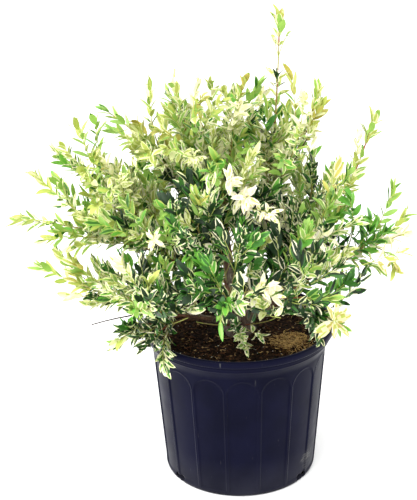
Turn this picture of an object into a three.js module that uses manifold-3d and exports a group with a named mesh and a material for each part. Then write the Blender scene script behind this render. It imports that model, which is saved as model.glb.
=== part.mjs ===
// A dappled willow, a many-stemmed shrub with narrow paired leaves, in a fluted nursery pot.
// Millimetres, +Z up. The origin is the centre of the pot's flat underside and -Y is the front.
import * as THREE from "three";
import { mergeVertices } from "three/addons/utils/BufferGeometryUtils.js";
import Module from "manifold-3d";

const wasm = await Module();
wasm.setup();

// Clearance between pieces that touch.
const GAP = 0.3;

// The pot: a blow-moulded cone with a rolled lip, a flared collar and sixteen arched flutes.
const POT_HEIGHT = 232;
const FOOT_RADIUS = 113;
const POT_TAPER = 0.079;
const LIP_RADIUS = 141;
const LIP_HEIGHT = 9;
const LIP_WIDTH = 6.5;
const LIP_ROUND = 2;
const LIP_FLARE = 3;
const POT_WALL = 2.4;
const POT_FLOOR = 3;
const COLLAR_FOOT = 198;
const COLLAR_FLARE = 8;
const FLUTES = 16;
const FLUTE_PHASE = 2;
const FLUTE_TOP = 196;
const FLUTE_FOOT = 7;
const FOOT_ROUND = 4;
const FLUTE_RIB = 4;
const FLUTE_DEPTH = 1;
const FLUTE_ARCH_STEPS = 4;
const POT_SIDES = 32;
const DRAIN_AZIMUTHS = [217, 323, 37, 143];
const DRAIN_WIDTH = 15;
const DRAIN_HEIGHT = 9;
const DRAIN_DEPTH = 24;

// The potting mix stands a little below the lip and is level where the stems rise from it.
const SOIL_TOP = POT_HEIGHT - 16;
const SOIL_PAD = 34;
const SOIL_MIDWAY = 70;
const SOIL_SHOULDER = 108;
const SOIL_EDGE_DROP = 4;
const SOIL_ROUGHNESS = 2.6;
const SOIL_WAVE = 13;

// The woody crown at soil level, from which all stems rise.
const CROWN_HEIGHT = 34;
const CROWN_FLARE = 25;
const CROWN_KNUCKLE = 19;
const CROWN_WAIST = 15;
const CROWN_TOP = 9;
const CROWN_SIDES = 14;

// Limb thickness where a stem leaves the crown, where a bough leaves a stem and where a bough ends.
const STEM_RADIUS = 5;
const FORK_RADIUS = 3.6;
const BOUGH_RADIUS = 3.2;
const SPRAY_RADIUS = 2.2;
const TIP_RADIUS = 0.9;
const STEM_SECTION = { sides: 6, steps: 4 };
const BOUGH_SECTION = { sides: 5, steps: 2 };
const TWIG_SIDES = 3;
const TWIG_STEPS = 3;

// A stem starts this far from the crown's axis and sags below its chord by this share of its spread. The
// control point of a bough lies this share of the way along it.
const STEM_OFFSET = 5;
const STEM_SAG = 0.12;
const BEND_AT = 0.45;

// Leaves are larger than life, since there are far fewer of them than on the shrub.
const LEAF_LENGTH = 57;
const LEAF_WIDTH = 19.5;
const LEAF_SIDES = 3;
const LEAF_THICKNESS = 1;
const LEAF_SINK = 0.3;
const LEAF_SPACING = 31;
const LEAF_ANGLE = 44;
const LEAF_PLAY = 18;
const LEAF_BELLY = 0.42;
const LEAF_SIZES = [0.88, 1.12];
const LEAF_ROOM = 7;
const TWIG_ROOM = 4;
const END_LEAF = 0.8;
const END_LEAF_ANGLE = 4;
const PAIR_TURN = 90;
const PAIR_PLAY = 0.8;
const LEAF_TRIALS = [
  { scale: 1, swing: 0 },
  { scale: 0.9, swing: 0.6 },
  { scale: 0.9, swing: -0.6 },
  { scale: 0.7, swing: 0 },
];

// Side shoots along the stem of a mass.
const SHOOT_SPACING = 36;
const FEWEST_SHOOTS = 3;
const SHOOT_ANGLE = 32;
const SHOOT_PLAY = 18;
const SHOOT_TURN_PLAY = 0.7;
const SHOOT_LENGTH = 104;
const SHOOT_LENGTHS = { atRoot: 1.15, atTip: 0.55, least: 0.8, most: 1.2 };
const SHORTEST_SHOOT = 28;
const SHOOT_TRIALS = [0, 0.9, -0.9, 1.8, -1.8, 3.1];
const TRIAL_SHRINK = 0.9;
const SHOOT_SHARE = 0.48;
const SHOOT_TIP = 0.5;
const SHOOT_RISE = 0.22;
const SHOOT_TESTS = [0.4, 0.7, 1];
const GOLDEN_TURN = 137.5;
const STEM_LEAFY = 0.75;
const SHOOT_LEAFY = 0.9;

// How far a mass keeps from its neighbours, the limbs and the pot, and the straight steps that stand for
// its stem where that is measured.
const SPACE_MARGIN = 2.2;
const SPACE_STEPS = 5;
const LIMB_MARGIN = 4.5;
const POT_MARGIN = 3;
const UNDERSIDE = 262;
const FIRST_SEED = 101;
const SEED_STEP = 7;

// The crown's outline seen from the front, by an eye this far from the pot's axis and this high: places
// across and up in the upright plane through the axis.
const EYE_DISTANCE = 1600;
const EYE_HEIGHT = 968;
const CROWN_OUTLINE = [
  [-340, 412],
  [-276, 512],
  [-200, 578],
  [-123, 598],
  [-65, 600],
  [30, 608],
  [34, 700],
  [92, 700],
  [94, 606],
  [140, 574],
  [124, 498],
  [156, 468],
  [168, 556],
  [222, 552],
  [210, 470],
  [238, 414],
  [264, 376],
  [232, 304],
  [156, 276],
  [194, 250],
  [176, 178],
  [91, 162],
  [-59, 164],
  [-141, 134],
  [-206, 178],
  [-200, 236],
  [-284, 266],
  [-302, 330],
];

// Main stems from the crown: azimuth anticlockwise from +X in degrees, how far out and how high they fork.
const STEMS = {
  left_low: { azimuth: 196, out: 84, up: 258 },
  left: { azimuth: 170, out: 96, up: 330 },
  centre: { azimuth: 160, out: 30, up: 392 },
  leader: { azimuth: 14, out: 42, up: 398 },
  right: { azimuth: 350, out: 84, up: 290 },
  front: { azimuth: 262, out: 70, up: 300 },
  back: { azimuth: 98, out: 88, up: 306 },
};

// Masses of foliage: the stem that bears each, where its bough leaves that stem (1 is the stem's tip),
// the azimuth, distance out and height of its furthest leaf, the share of the way where the bough ends,
// how long its side shoots are beside those of a full mass, and the lowest height that its leaves may reach.
const MASSES = {
  left_low: { stem: "left_low", at: 1, azimuth: 186, out: 264, up: 291, bare: 0.14, spread: 0.8 },
  left_brim: { stem: "left_low", at: 0.8, azimuth: 209, out: 212, up: 246, bare: 0.2, spread: 0.7, low: 225 },
  front_brim: { stem: "left_low", at: 0.7, azimuth: 221, out: 192, up: 246, bare: 0.2, spread: 0.7, low: 188 },
  front_left: { stem: "left_low", at: 0.45, azimuth: 232, out: 240, up: 340, bare: 0.26, spread: 1, low: 290 },
  left_far: { stem: "left", at: 0.84, azimuth: 180, out: 330, up: 400, bare: 0.12, spread: 0.8 },
  left_high: { stem: "left", at: 1, azimuth: 175, out: 268, up: 500, bare: 0.2, spread: 1 },
  left_inner: { stem: "left", at: 0.4, azimuth: 216, out: 150, up: 400, bare: 0.22, spread: 1 },
  back_left: { stem: "left", at: 0.6, azimuth: 136, out: 268, up: 390, bare: 0.24, spread: 1 },
  crest_left: { stem: "centre", at: 0.82, azimuth: 172, out: 196, up: 562, bare: 0.18, spread: 1 },
  crest: { stem: "centre", at: 1, azimuth: 190, out: 96, up: 592, bare: 0.12, spread: 1 },
  centre: { stem: "centre", at: 0.5, azimuth: 262, out: 72, up: 470, bare: 0.24, spread: 1 },
  top: { stem: "centre", at: 0.66, azimuth: 60, out: 20, up: 594, bare: 0.36, spread: 0.9 },
  leader: { stem: "leader", at: 1, azimuth: 3, out: 62, up: 691, bare: 0.16, spread: 0.42 },
  top_right: { stem: "leader", at: 0.78, azimuth: 354, out: 124, up: 576, bare: 0.34, spread: 0.8 },
  right_high: { stem: "right", at: 0.78, azimuth: 2, out: 198, up: 544, bare: 0.3, spread: 0.55 },
  right_far: { stem: "right", at: 1, azimuth: 357, out: 254, up: 380, bare: 0.14, spread: 0.9 },
  right_low: { stem: "right", at: 0.55, azimuth: 328, out: 186, up: 262, bare: 0.3, spread: 0.7, low: 235 },
  right_inner: { stem: "right", at: 0.4, azimuth: 322, out: 150, up: 420, bare: 0.22, spread: 1 },
  right_upper: { stem: "right", at: 0.62, azimuth: 12, out: 118, up: 474, bare: 0.2, spread: 1 },
  front: { stem: "front", at: 0.8, azimuth: 266, out: 244, up: 366, bare: 0.2, spread: 1, low: 322 },
  front_high: { stem: "front", at: 1, azimuth: 246, out: 176, up: 476, bare: 0.2, spread: 1 },
  front_right: { stem: "front", at: 0.6, azimuth: 305, out: 232, up: 350, bare: 0.28, spread: 1, low: 290 },
  back: { stem: "back", at: 0.8, azimuth: 94, out: 268, up: 360, bare: 0.2, spread: 1 },
  back_right: { stem: "back", at: 0.66, azimuth: 42, out: 246, up: 396, bare: 0.26, spread: 1 },
  back_high: { stem: "back", at: 1, azimuth: 104, out: 150, up: 520, bare: 0.2, spread: 1 },
};

const COLOURS = {
  pot: { color: 0x1c1e30, roughness: 0.42 },
  soil: { color: 0x2b1c14, roughness: 0.95 },
  crown: { color: 0x54402f, roughness: 0.85 },
  stem: { color: 0x6b5140, roughness: 0.7 },
  leaf: { color: 0x9db85c, roughness: 0.5 },
};

const radians = THREE.MathUtils.degToRad;
const mix = THREE.MathUtils.lerp;

// Vectors for the growth rule are plain [x, y, z] lists.
const add = (a, b, k = 1) => [a[0] + k * b[0], a[1] + k * b[1], a[2] + k * b[2]];
const between = (a, b) => add(b, a, -1);
const dot = (a, b) => a[0] * b[0] + a[1] * b[1] + a[2] * b[2];
const size = (a) => Math.sqrt(dot(a, a));
const unit = (a) => add([0, 0, 0], a, 1 / size(a));
const cross = (a, b) => [
  a[1] * b[2] - a[2] * b[1],
  a[2] * b[0] - a[0] * b[2],
  a[0] * b[1] - a[1] * b[0],
];

function polar(azimuth, out, up) {
  return [out * Math.cos(radians(azimuth)), out * Math.sin(radians(azimuth)), up];
}

// A direction at an angle from another, turned about it. Turn 0 is towards +Z.
function aside(direction, angle, turn) {
  const side = unit(cross(direction, Math.abs(direction[2]) > 0.9 ? [0, 1, 0] : [0, 0, 1]));
  const over = cross(side, direction);
  const off = add(add([0, 0, 0], over, Math.cos(turn)), side, Math.sin(turn));
  return unit(add(add([0, 0, 0], direction, Math.cos(angle)), off, Math.sin(angle)));
}

// A repeatable stream of numbers from 0 to 1 for each seed.
function randomFrom(seed) {
  let state = seed >>> 0;
  return () => {
    state = (state + 0x6d2b79f5) >>> 0;
    let t = state;
    t = Math.imul(t ^ (t >>> 15), t | 1);
    t ^= t + Math.imul(t ^ (t >>> 7), t | 61);
    return ((t ^ (t >>> 14)) >>> 0) / 4294967296;
  };
}

// A curve with one control point, as its three points.
function along(curve, t) {
  const [a, b, c] = curve;
  const u = 1 - t;
  return add(add(add([0, 0, 0], a, u * u), b, 2 * u * t), c, t * t);
}

function heading(curve, t) {
  const [a, b, c] = curve;
  return unit(add(add([0, 0, 0], between(a, b), 1 - t), between(b, c), t));
}

// A stem leaves the crown low and curves upwards to its fork.
function stemCurve({ azimuth, out, up }) {
  const root = polar(azimuth, STEM_OFFSET, SOIL_TOP + CROWN_HEIGHT / 2);
  const fork = polar(azimuth, out, up);
  const bend = add(root, between(root, fork), 0.5);
  bend[2] -= STEM_SAG * out;
  return [root, bend, fork];
}

// A bough and the stem of its mass share one curve, from the main stem to the tip of the mass.
function massCurve({ stem, at, azimuth, out, up }) {
  const parent = stemCurve(STEMS[stem]);
  const root = along(parent, at);
  const furthest = polar(azimuth, out, up);
  const towards = unit(between(root, furthest));
  const tip = add(furthest, towards, -END_LEAF * LEAF_LENGTH);
  const reach = size(between(root, tip));
  return [root, add(root, unit(add(heading(parent, at), towards)), BEND_AT * reach), tip];
}

// The stretch of a curve from t0 to t1, as points and their directions.
function stretch(curve, t0, t1, steps) {
  return Array.from({ length: steps + 1 }, (_, i) => {
    const t = t0 + ((t1 - t0) * i) / steps;
    return { at: along(curve, t), way: heading(curve, t) };
  });
}

// A straight prism bent along a row of points, tapering from one radius to the other, with flat ends.
function bentPrism(points, startRadius, endRadius, sides) {
  const steps = points.length - 1;
  const chord = unit(between(points[0].at, points[steps].at));
  const reference = Math.abs(chord[2]) > 0.8 ? [0, 1, 0] : [0, 0, 1];
  const middle = new THREE.Vector2();
  const corner = (i) => new THREE.Vector2(0, 1).rotateAround(middle, (i * 2 * Math.PI) / sides);
  const section = new THREE.Shape(Array.from({ length: sides }, (_, i) => corner(i)));
  const shape = new THREE.ExtrudeGeometry(section, { depth: steps, steps, bevelEnabled: false });
  const position = shape.getAttribute("position");
  for (let i = 0; i < position.count; i++) {
    const row = Math.round(position.getZ(i));
    const { at, way } = points[row];
    const radius = mix(startRadius, endRadius, row / steps);
    const side = unit(cross(way, reference));
    const over = cross(side, way);
    const place = add(add(at, over, radius * position.getX(i)), side, radius * position.getY(i));
    position.setXYZ(i, ...place);
  }
  return shape;
}

function toSolid(geometry) {
  const bare = geometry.clone();
  bare.deleteAttribute("normal");
  bare.deleteAttribute("uv");
  const merged = mergeVertices(bare, 1e-4);
  const mesh = new wasm.Mesh({
    numProp: 3,
    vertProperties: merged.getAttribute("position").array,
    triVerts: new Uint32Array(merged.index.array),
  });
  return new wasm.Manifold(mesh);
}

function toGeometry(solid) {
  const mesh = solid.getMesh();
  const geometry = new THREE.BufferGeometry();
  geometry.setAttribute("position", new THREE.BufferAttribute(mesh.vertProperties, 3));
  geometry.setIndex(new THREE.BufferAttribute(mesh.triVerts, 1));
  geometry.computeVertexNormals();
  return geometry;
}

function largestBody(solid) {
  return solid.decompose().reduce((a, b) => (b.volume() > a.volume() ? b : a));
}

function joined(solids) {
  return largestBody(wasm.Manifold.union(solids));
}

const shrub = new THREE.Group();

function addNode(name, solid, finish) {
  const material = new THREE.MeshStandardMaterial({ metalness: 0, ...finish });
  const mesh = new THREE.Mesh(toGeometry(solid), material);
  mesh.name = name;
  shrub.add(mesh);
}

const potRadius = (z) => FOOT_RADIUS + POT_TAPER * z;

// A lathe turns about +Y, so its result is stood up onto +Z, and turned so that corners lie on the flutes.
function turned(profile, sides) {
  const points = profile.map(([r, z]) => new THREE.Vector2(r, z));
  const lathe = new THREE.LatheGeometry(points, sides);
  return lathe.rotateX(Math.PI / 2).rotateZ(radians(FLUTE_PHASE));
}

function potBody() {
  const lipFoot = POT_HEIGHT - LIP_HEIGHT;
  const neck = potRadius(COLLAR_FOOT) + COLLAR_FLARE;
  return toSolid(
    turned(
      [
        [0, 0],
        [FOOT_RADIUS - FOOT_ROUND, 0],
        [potRadius(FOOT_ROUND), FOOT_ROUND],
        [potRadius(COLLAR_FOOT), COLLAR_FOOT],
        [neck, lipFoot - LIP_FLARE],
        [LIP_RADIUS, lipFoot],
        [LIP_RADIUS, POT_HEIGHT - LIP_ROUND],
        [LIP_RADIUS - LIP_ROUND, POT_HEIGHT],
        [LIP_RADIUS - LIP_WIDTH, POT_HEIGHT],
        [neck - POT_WALL, lipFoot - LIP_FLARE],
        [potRadius(COLLAR_FOOT) - POT_WALL, COLLAR_FOOT],
        [potRadius(POT_FLOOR) - POT_WALL, POT_FLOOR],
        [0, POT_FLOOR],
      ],
      POT_SIDES,
    ),
  );
}

// The outline of one flute, drawn flat: a tapering panel with a round top.
function fluteShape() {
  const pitch = (z) => (2 * Math.PI * potRadius(z)) / FLUTES;
  const topHalf = (pitch(FLUTE_TOP) - FLUTE_RIB) / 2;
  const footHalf = (pitch(0) - FLUTE_RIB) / 2;
  const shape = new THREE.Shape();
  shape.moveTo(-footHalf, FLUTE_FOOT);
  shape.lineTo(footHalf, FLUTE_FOOT);
  shape.lineTo(topHalf, FLUTE_TOP - topHalf);
  shape.absarc(0, FLUTE_TOP - topHalf, topHalf, 0, Math.PI, false);
  return shape;
}

// All flutes at once: arched prisms that point outwards, kept only outside a cone just within the wall.
function flutes() {
  const wellOutside = 20;
  const wellInside = 30;
  const skin = toSolid(
    turned(
      [
        [potRadius(0) - FLUTE_DEPTH, 0],
        [potRadius(0) + wellOutside, 0],
        [potRadius(POT_HEIGHT) + wellOutside, POT_HEIGHT],
        [potRadius(POT_HEIGHT) - FLUTE_DEPTH, POT_HEIGHT],
        [potRadius(0) - FLUTE_DEPTH, 0],
      ],
      POT_SIDES,
    ),
  );
  const panels = [];
  for (let i = 0; i < FLUTES; i++) {
    const panel = new THREE.ExtrudeGeometry(fluteShape(), {
      depth: 2 * wellInside,
      bevelEnabled: false,
      curveSegments: FLUTE_ARCH_STEPS,
    });
    panel.rotateX(Math.PI / 2);
    panel.rotateZ(Math.PI / 2);
    panel.translate(FOOT_RADIUS - wellInside, 0, 0);
    panel.rotateZ(radians(FLUTE_PHASE + (i * 360) / FLUTES));
    panels.push(toSolid(panel));
  }
  return wasm.Manifold.union(panels).intersect(skin);
}

function drainHole(azimuth) {
  const hole = new THREE.BoxGeometry(DRAIN_DEPTH, DRAIN_WIDTH, 2 * DRAIN_HEIGHT);
  hole.translate(FOOT_RADIUS, 0, 0);
  hole.rotateZ(radians(azimuth));
  return toSolid(hole);
}

function pot() {
  const cuts = [flutes(), ...DRAIN_AZIMUTHS.map(drainHole)];
  return potBody().subtract(wasm.Manifold.union(cuts));
}

// The potting mix fills the pot from floor to just below the collar, with a lumpy top around a level pad.
function soil() {
  const inside = (z) => potRadius(z) - POT_WALL - 2 * GAP;
  const collar = inside(COLLAR_FOOT);
  const geometry = turned(
    [
      [0, POT_FLOOR + GAP],
      [inside(POT_FLOOR), POT_FLOOR + GAP],
      [collar, COLLAR_FOOT],
      [collar + COLLAR_FLARE / 4, SOIL_TOP - SOIL_EDGE_DROP],
      [SOIL_SHOULDER, SOIL_TOP],
      [SOIL_MIDWAY, SOIL_TOP],
      [SOIL_PAD, SOIL_TOP],
      [0, SOIL_TOP],
    ],
    POT_SIDES,
  );
  const position = geometry.getAttribute("position");
  for (let i = 0; i < position.count; i++) {
    const [x, y, z] = [position.getX(i), position.getY(i), position.getZ(i)];
    const out = Math.hypot(x, y);
    if (z < SOIL_TOP || out < (SOIL_PAD + SOIL_MIDWAY) / 2) continue;
    const waves = Math.sin(x / SOIL_WAVE + 1.2) * Math.cos(y / SOIL_WAVE);
    const lump = waves + 0.6 * Math.sin((x - y) / SOIL_WAVE);
    position.setZ(i, z + (SOIL_ROUGHNESS * lump * SOIL_MIDWAY) / out);
  }
  return toSolid(geometry);
}

// The crown is a knuckle of old wood with a root flare and a flat foot. Grown makes it that much larger.
function crown(grown = 0) {
  const foot = SOIL_TOP + GAP;
  const geometry = turned(
    [
      [0, foot - grown],
      [CROWN_FLARE + grown, foot - grown],
      [CROWN_KNUCKLE + grown, foot + 0.2 * CROWN_HEIGHT],
      [CROWN_WAIST + grown, foot + 0.45 * CROWN_HEIGHT],
      [CROWN_WAIST + grown, foot + 0.7 * CROWN_HEIGHT],
      [CROWN_TOP + grown, foot + CROWN_HEIGHT + grown],
      [0, foot + 1.1 * CROWN_HEIGHT + grown],
    ],
    CROWN_SIDES,
  );
  const position = geometry.getAttribute("position");
  for (let i = 0; i < position.count; i++) {
    const [x, y, z] = [position.getX(i), position.getY(i), position.getZ(i)];
    const around = Math.atan2(y, x);
    const swell = 1 + 0.1 * Math.sin(3 * around + 0.6) + 0.06 * Math.sin(5 * around);
    position.setXYZ(i, x * swell, y * swell, z);
  }
  return toSolid(geometry);
}

// Limbs in the order they grow. Each is cut clear of those before it, and keeps its root against its parent.
function growLimbs() {
  const limbs = [];
  const before = [crown(GAP)];
  const grow = (name, curve, far, startRadius, endRadius, { sides, steps }) => {
    const points = stretch(curve, 0, far, steps);
    const raw = toSolid(bentPrism(points, startRadius, endRadius, sides));
    const solid = largestBody(raw.subtract(wasm.Manifold.union(before)));
    before.push(toSolid(bentPrism(points, startRadius + GAP, endRadius + GAP, sides)));
    limbs.push({ name, solid, points, radius: startRadius });
  };
  for (const [name, stem] of Object.entries(STEMS)) {
    grow("stem_" + name, stemCurve(stem), 1, STEM_RADIUS, FORK_RADIUS, STEM_SECTION);
  }
  for (const [name, mass] of Object.entries(MASSES)) {
    grow("bough_" + name, massCurve(mass), mass.bare, BOUGH_RADIUS, SPRAY_RADIUS, BOUGH_SECTION);
  }
  return limbs;
}

function distanceToSegment(p, a, b) {
  const ab = between(a, b);
  const t = Math.min(1, Math.max(0, dot(between(a, p), ab) / dot(ab, ab)));
  return size(between(add(a, ab, t), p));
}

function distanceToPath(p, points) {
  let least = Infinity;
  for (let i = 0; i + 1 < points.length; i++) {
    least = Math.min(least, distanceToSegment(p, points[i].at, points[i + 1].at));
  }
  return least;
}

// True where the pot, its lip or the potting mix is, with some room around.
function nearPot([x, y, z]) {
  const out = Math.hypot(x, y);
  if (z > POT_HEIGHT + POT_MARGIN || out > LIP_RADIUS + POT_MARGIN) return false;
  return out > LIP_RADIUS - LIP_WIDTH - 2 * POT_MARGIN || z < SOIL_TOP + 3 * POT_MARGIN;
}

// True inside the crown's outline: a level line from the point then crosses it an odd number of times.
function inOutline([x, y, z]) {
  const nearer = EYE_DISTANCE / (y + EYE_DISTANCE);
  const across = nearer * x;
  const up = EYE_HEIGHT + nearer * (z - EYE_HEIGHT);
  const crossed = CROWN_OUTLINE.filter(([ax, az], i) => {
    const [bx, bz] = CROWN_OUTLINE[(i + 1) % CROWN_OUTLINE.length];
    return az > up !== bz > up && across < ax + ((up - az) * (bx - ax)) / (bz - az);
  });
  return crossed.length % 2 === 1;
}

// The twigs of one mass: its stem and the side shoots that find room. fits says whether a point is in the
// mass's own space.
function growTwigs(curve, { bare, spread }, random, fits) {
  const reach = size(between(curve[0], curve[2]));
  const start = bare + GAP / reach;
  const points = stretch(curve, start, 1, TWIG_STEPS);
  const twigs = [{ points, radii: [SPRAY_RADIUS, TIP_RADIUS], leafy: STEM_LEAFY }];
  const shoots = Math.max(FEWEST_SHOOTS, Math.round((reach * (1 - bare)) / SHOOT_SPACING));
  const { atRoot, atTip, least, most } = SHOOT_LENGTHS;
  for (let k = 0; k < shoots; k++) {
    const t = start + (1 - start) * ((k + mix(0.3, 0.7, random())) / shoots);
    const root = along(curve, t);
    const turn = radians(GOLDEN_TURN * k) + random() * SHOOT_TURN_PLAY;
    const angle = radians(SHOOT_ANGLE + SHOOT_PLAY * (random() - 0.5));
    let length = spread * SHOOT_LENGTH * mix(atRoot, atTip, t) * mix(least, most, random());
    for (const swing of SHOOT_TRIALS) {
      const way = unit(add(aside(heading(curve, t), angle, turn + swing), [0, 0, SHOOT_RISE]));
      const points = [0, length].map((far) => ({ at: add(root, way, far), way }));
      if (length > SHORTEST_SHOOT && SHOOT_TESTS.every((far) => fits(add(root, way, far * length)))) {
        const local = mix(SPRAY_RADIUS, TIP_RADIUS, (t - start) / (1 - start));
        twigs.push({ points, radii: [SHOOT_SHARE * local, SHOOT_TIP], leafy: SHOOT_LEAFY });
        break;
      }
      length *= TRIAL_SHRINK;
    }
  }
  return twigs;
}

// A leaf's place, as its root, its direction, the way across it, and its length and width.
function leafAt(root, way, turn, angle, length) {
  const direction = aside(way, angle, turn);
  const across = unit(cross(direction, way));
  const from = add(root, direction, -LEAF_SINK);
  return { from, direction, across, length, width: (LEAF_WIDTH * length) / LEAF_LENGTH };
}

// A leaf needs room for its rim and tip in the mass's space, and its midrib clear of other leaves and twigs.
function leafHasRoom(leaf, own, twigs, leaves, fits) {
  const on = (far) => add(leaf.from, leaf.direction, far * leaf.length);
  const rims = [-0.5, 0.5].map((half) => add(on(LEAF_BELLY), leaf.across, half * leaf.width));
  if (![on(0.25), on(0.7), on(1), ...rims].every(fits)) return false;
  const probes = [0.3, 0.5, 0.75, 1].map(on);
  for (const { points } of twigs.filter((twig) => twig !== own)) {
    if (probes.some((p) => distanceToPath(p, points) <= TWIG_ROOM)) return false;
  }
  return leaves.every((one) => {
    const belly = add(one.from, one.direction, 0.3 * one.length);
    const tip = add(one.from, one.direction, one.length);
    return probes.every((p) => distanceToSegment(p, belly, tip) > LEAF_ROOM);
  });
}

// Leaves stand along each twig in opposite pairs, and one more ends it. One with no room is tried again
// smaller and turned a little, and then skipped.
function growLeaves(twigs, random, fits) {
  const leaves = [];
  const place = (root, way, turn, angle, length, own) => {
    const leaf = LEAF_TRIALS.map(({ scale, swing }) => {
      return leafAt(root, way, turn + swing, angle, scale * length);
    }).find((trial) => leafHasRoom(trial, own, twigs, leaves, fits));
    if (leaf) leaves.push(leaf);
  };
  for (const twig of twigs) {
    const { points, leafy } = twig;
    const end = points[points.length - 1];
    const anyTurn = random() * 2 * Math.PI;
    place(end.at, end.way, anyTurn, radians(END_LEAF_ANGLE), END_LEAF * LEAF_LENGTH, twig);
    const length = size(between(points[0].at, end.at));
    const pairs = Math.max(1, Math.round((length * leafy) / LEAF_SPACING));
    for (let k = 0; k < pairs; k++) {
      const spot = (1 - leafy * ((k + 0.35) / pairs)) * (points.length - 1);
      const row = Math.floor(spot);
      const { at, way } = points[row];
      const root = add(at, between(at, points[row + 1].at), spot - row);
      const turn = k * radians(PAIR_TURN) + random() * PAIR_PLAY;
      for (const half of [0, Math.PI]) {
        const angle = radians(LEAF_ANGLE + LEAF_PLAY * (random() - 0.5));
        place(root, way, turn + half, angle, LEAF_LENGTH * mix(...LEAF_SIZES, random()), twig);
      }
    }
  }
  return leaves;
}

// A leaf is two long three-sided points set base to base, flat above and with its midrib as a keel below.
function leafSolid({ from, direction, across, length, width }) {
  const half = new THREE.LatheGeometry(
    [
      [0, 0],
      [1, LEAF_BELLY],
      [0, 1],
    ].map(([r, y]) => new THREE.Vector2(r, y)),
    LEAF_SIDES,
  );
  const under = cross(across, direction);
  const position = half.getAttribute("position");
  for (let i = 0; i < position.count; i++) {
    const place = add(from, direction, position.getY(i) * length);
    const beside = add(place, across, (position.getX(i) * width) / Math.sqrt(3));
    position.setXYZ(i, ...add(beside, under, (position.getZ(i) * LEAF_THICKNESS) / 1.5));
  }
  return toSolid(half);
}

function massSolid({ twigs, leaves }) {
  const stems = twigs.map(({ points, radii }) => toSolid(bentPrism(points, ...radii, TWIG_SIDES)));
  return joined([...stems, ...leaves.map(leafSolid)]);
}

const limbs = growLimbs();
const spaces = Object.values(MASSES).map((mass) => stretch(massCurve(mass), mass.bare, 1, SPACE_STEPS));

// A mass's own space is where its stem is nearer than any other's, clear of every limb and of the pot.
function fitsIn(own, low = UNDERSIDE) {
  return (p) => {
    if (p[2] < low || nearPot(p) || !inOutline(p)) return false;
    if (limbs.some((limb) => distanceToPath(p, limb.points) < limb.radius + LIMB_MARGIN)) return false;
    const mine = distanceToPath(p, spaces[own]);
    return spaces.every((space, i) => i === own || distanceToPath(p, space) > mine + 2 * SPACE_MARGIN);
  };
}

addNode("pot", pot(), COLOURS.pot);
addNode("potting_mix", soil(), COLOURS.soil);
addNode("root_crown", crown(), COLOURS.crown);
limbs.forEach(({ name, solid }) => addNode(name, solid, COLOURS.stem));
Object.entries(MASSES).forEach(([name, mass], i) => {
  const random = randomFrom(FIRST_SEED + SEED_STEP * i);
  const fits = fitsIn(i, mass.low);
  const twigs = growTwigs(massCurve(mass), mass, random, fits);
  const grown = { twigs, leaves: growLeaves(twigs, random, fits) };
  addNode("leaves_" + name, massSolid(grown), COLOURS.leaf);
});

export default shrub;
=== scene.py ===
# A dappled willow in a fluted black nursery pot.
import math
from dataclasses import dataclass

import bpy
import numpy as np
from mathutils import Euler, Matrix, Vector, noise


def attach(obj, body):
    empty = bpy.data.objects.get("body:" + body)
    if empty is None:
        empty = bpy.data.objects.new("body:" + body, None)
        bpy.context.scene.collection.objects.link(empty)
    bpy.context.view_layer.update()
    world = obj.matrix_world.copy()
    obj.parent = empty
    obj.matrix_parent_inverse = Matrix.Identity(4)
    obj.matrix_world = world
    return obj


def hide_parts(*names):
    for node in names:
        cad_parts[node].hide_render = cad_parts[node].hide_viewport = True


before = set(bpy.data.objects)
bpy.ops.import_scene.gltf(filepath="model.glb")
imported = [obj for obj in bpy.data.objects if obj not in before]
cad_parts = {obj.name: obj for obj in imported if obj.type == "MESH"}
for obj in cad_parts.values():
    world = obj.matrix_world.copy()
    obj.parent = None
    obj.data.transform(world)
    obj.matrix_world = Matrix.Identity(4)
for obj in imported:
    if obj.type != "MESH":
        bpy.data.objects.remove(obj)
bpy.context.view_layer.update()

# Every mass of foliage grows here again from its bough, by the rule of the solids, with finer twigs and
# leaves of life size. Shapes are worked out in millimetres, with -Y at the front, and turned to metres
# when a piece is made. An azimuth is in degrees, anticlockwise from +X as seen from above.
MM = 0.001
UP = np.array([0.0, 0.0, 1.0])
BACK = np.array([0.0, 1.0, 0.0])

# The pot: a blow-moulded cone with a rolled lip and a flared collar. A foot or top is a height.
POT_HEIGHT = 232
FOOT_RADIUS = 113
FOOT_ROUND = 4
POT_TAPER = 0.079
POT_WALL = 2.4
POT_FLOOR = 3
LIP_RADIUS = 141
LIP_WIDTH = 14
LIP_FOOT = 222
COLLAR_FOOT = 198
COLLAR_FLARE = 8
COLLAR_BEAD = 0.8
COLLAR_BEAD_AT = 214
# Its arched flutes, turned by this many degrees. A step slopes to each one's depth, and a bead edges it.
FLUTES = 16
FLUTE_PHASE = 2
FLUTE_TOP = 196
FLUTE_FOOT = 7
FLUTE_RIB = 4
FLUTE_DEPTH = 1.3
FLUTE_STEP = 1.8
BEAD_HEIGHT = 0.45
BEAD_WIDTH = 0.9
# Its drain holes: each is two round bores at the foot, this far to either side of its azimuth.
DRAIN_AZIMUTHS = (217, 323, 37, 143)
DRAIN_RADIUS = 6.2
DRAIN_HEIGHT = 6.6
DRAIN_SPREAD = 5
DRAIN_DEPTH = 16

# The potting mix, which sinks outwards from its edge and is level on a pad in the middle, and the woody crown
# that stands there.
SOIL_TOP = POT_HEIGHT - 16
SOIL_RADIUS = 131
SOIL_EDGE = 112
SOIL_PAD = 30
CROWN_HEIGHT = 34
CROWN_FLARE = 25
CROWN_WAIST = 15

# Radii of a stem at the crown and at its fork, of a bough at its root and where its mass begins, and of the
# mass's stem at its tip.
STEM_RADIUS = 5
FORK_RADIUS = 3.6
BOUGH_RADIUS = 3.2
SPRAY_RADIUS = 2.2
TIP_RADIUS = 0.7

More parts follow.
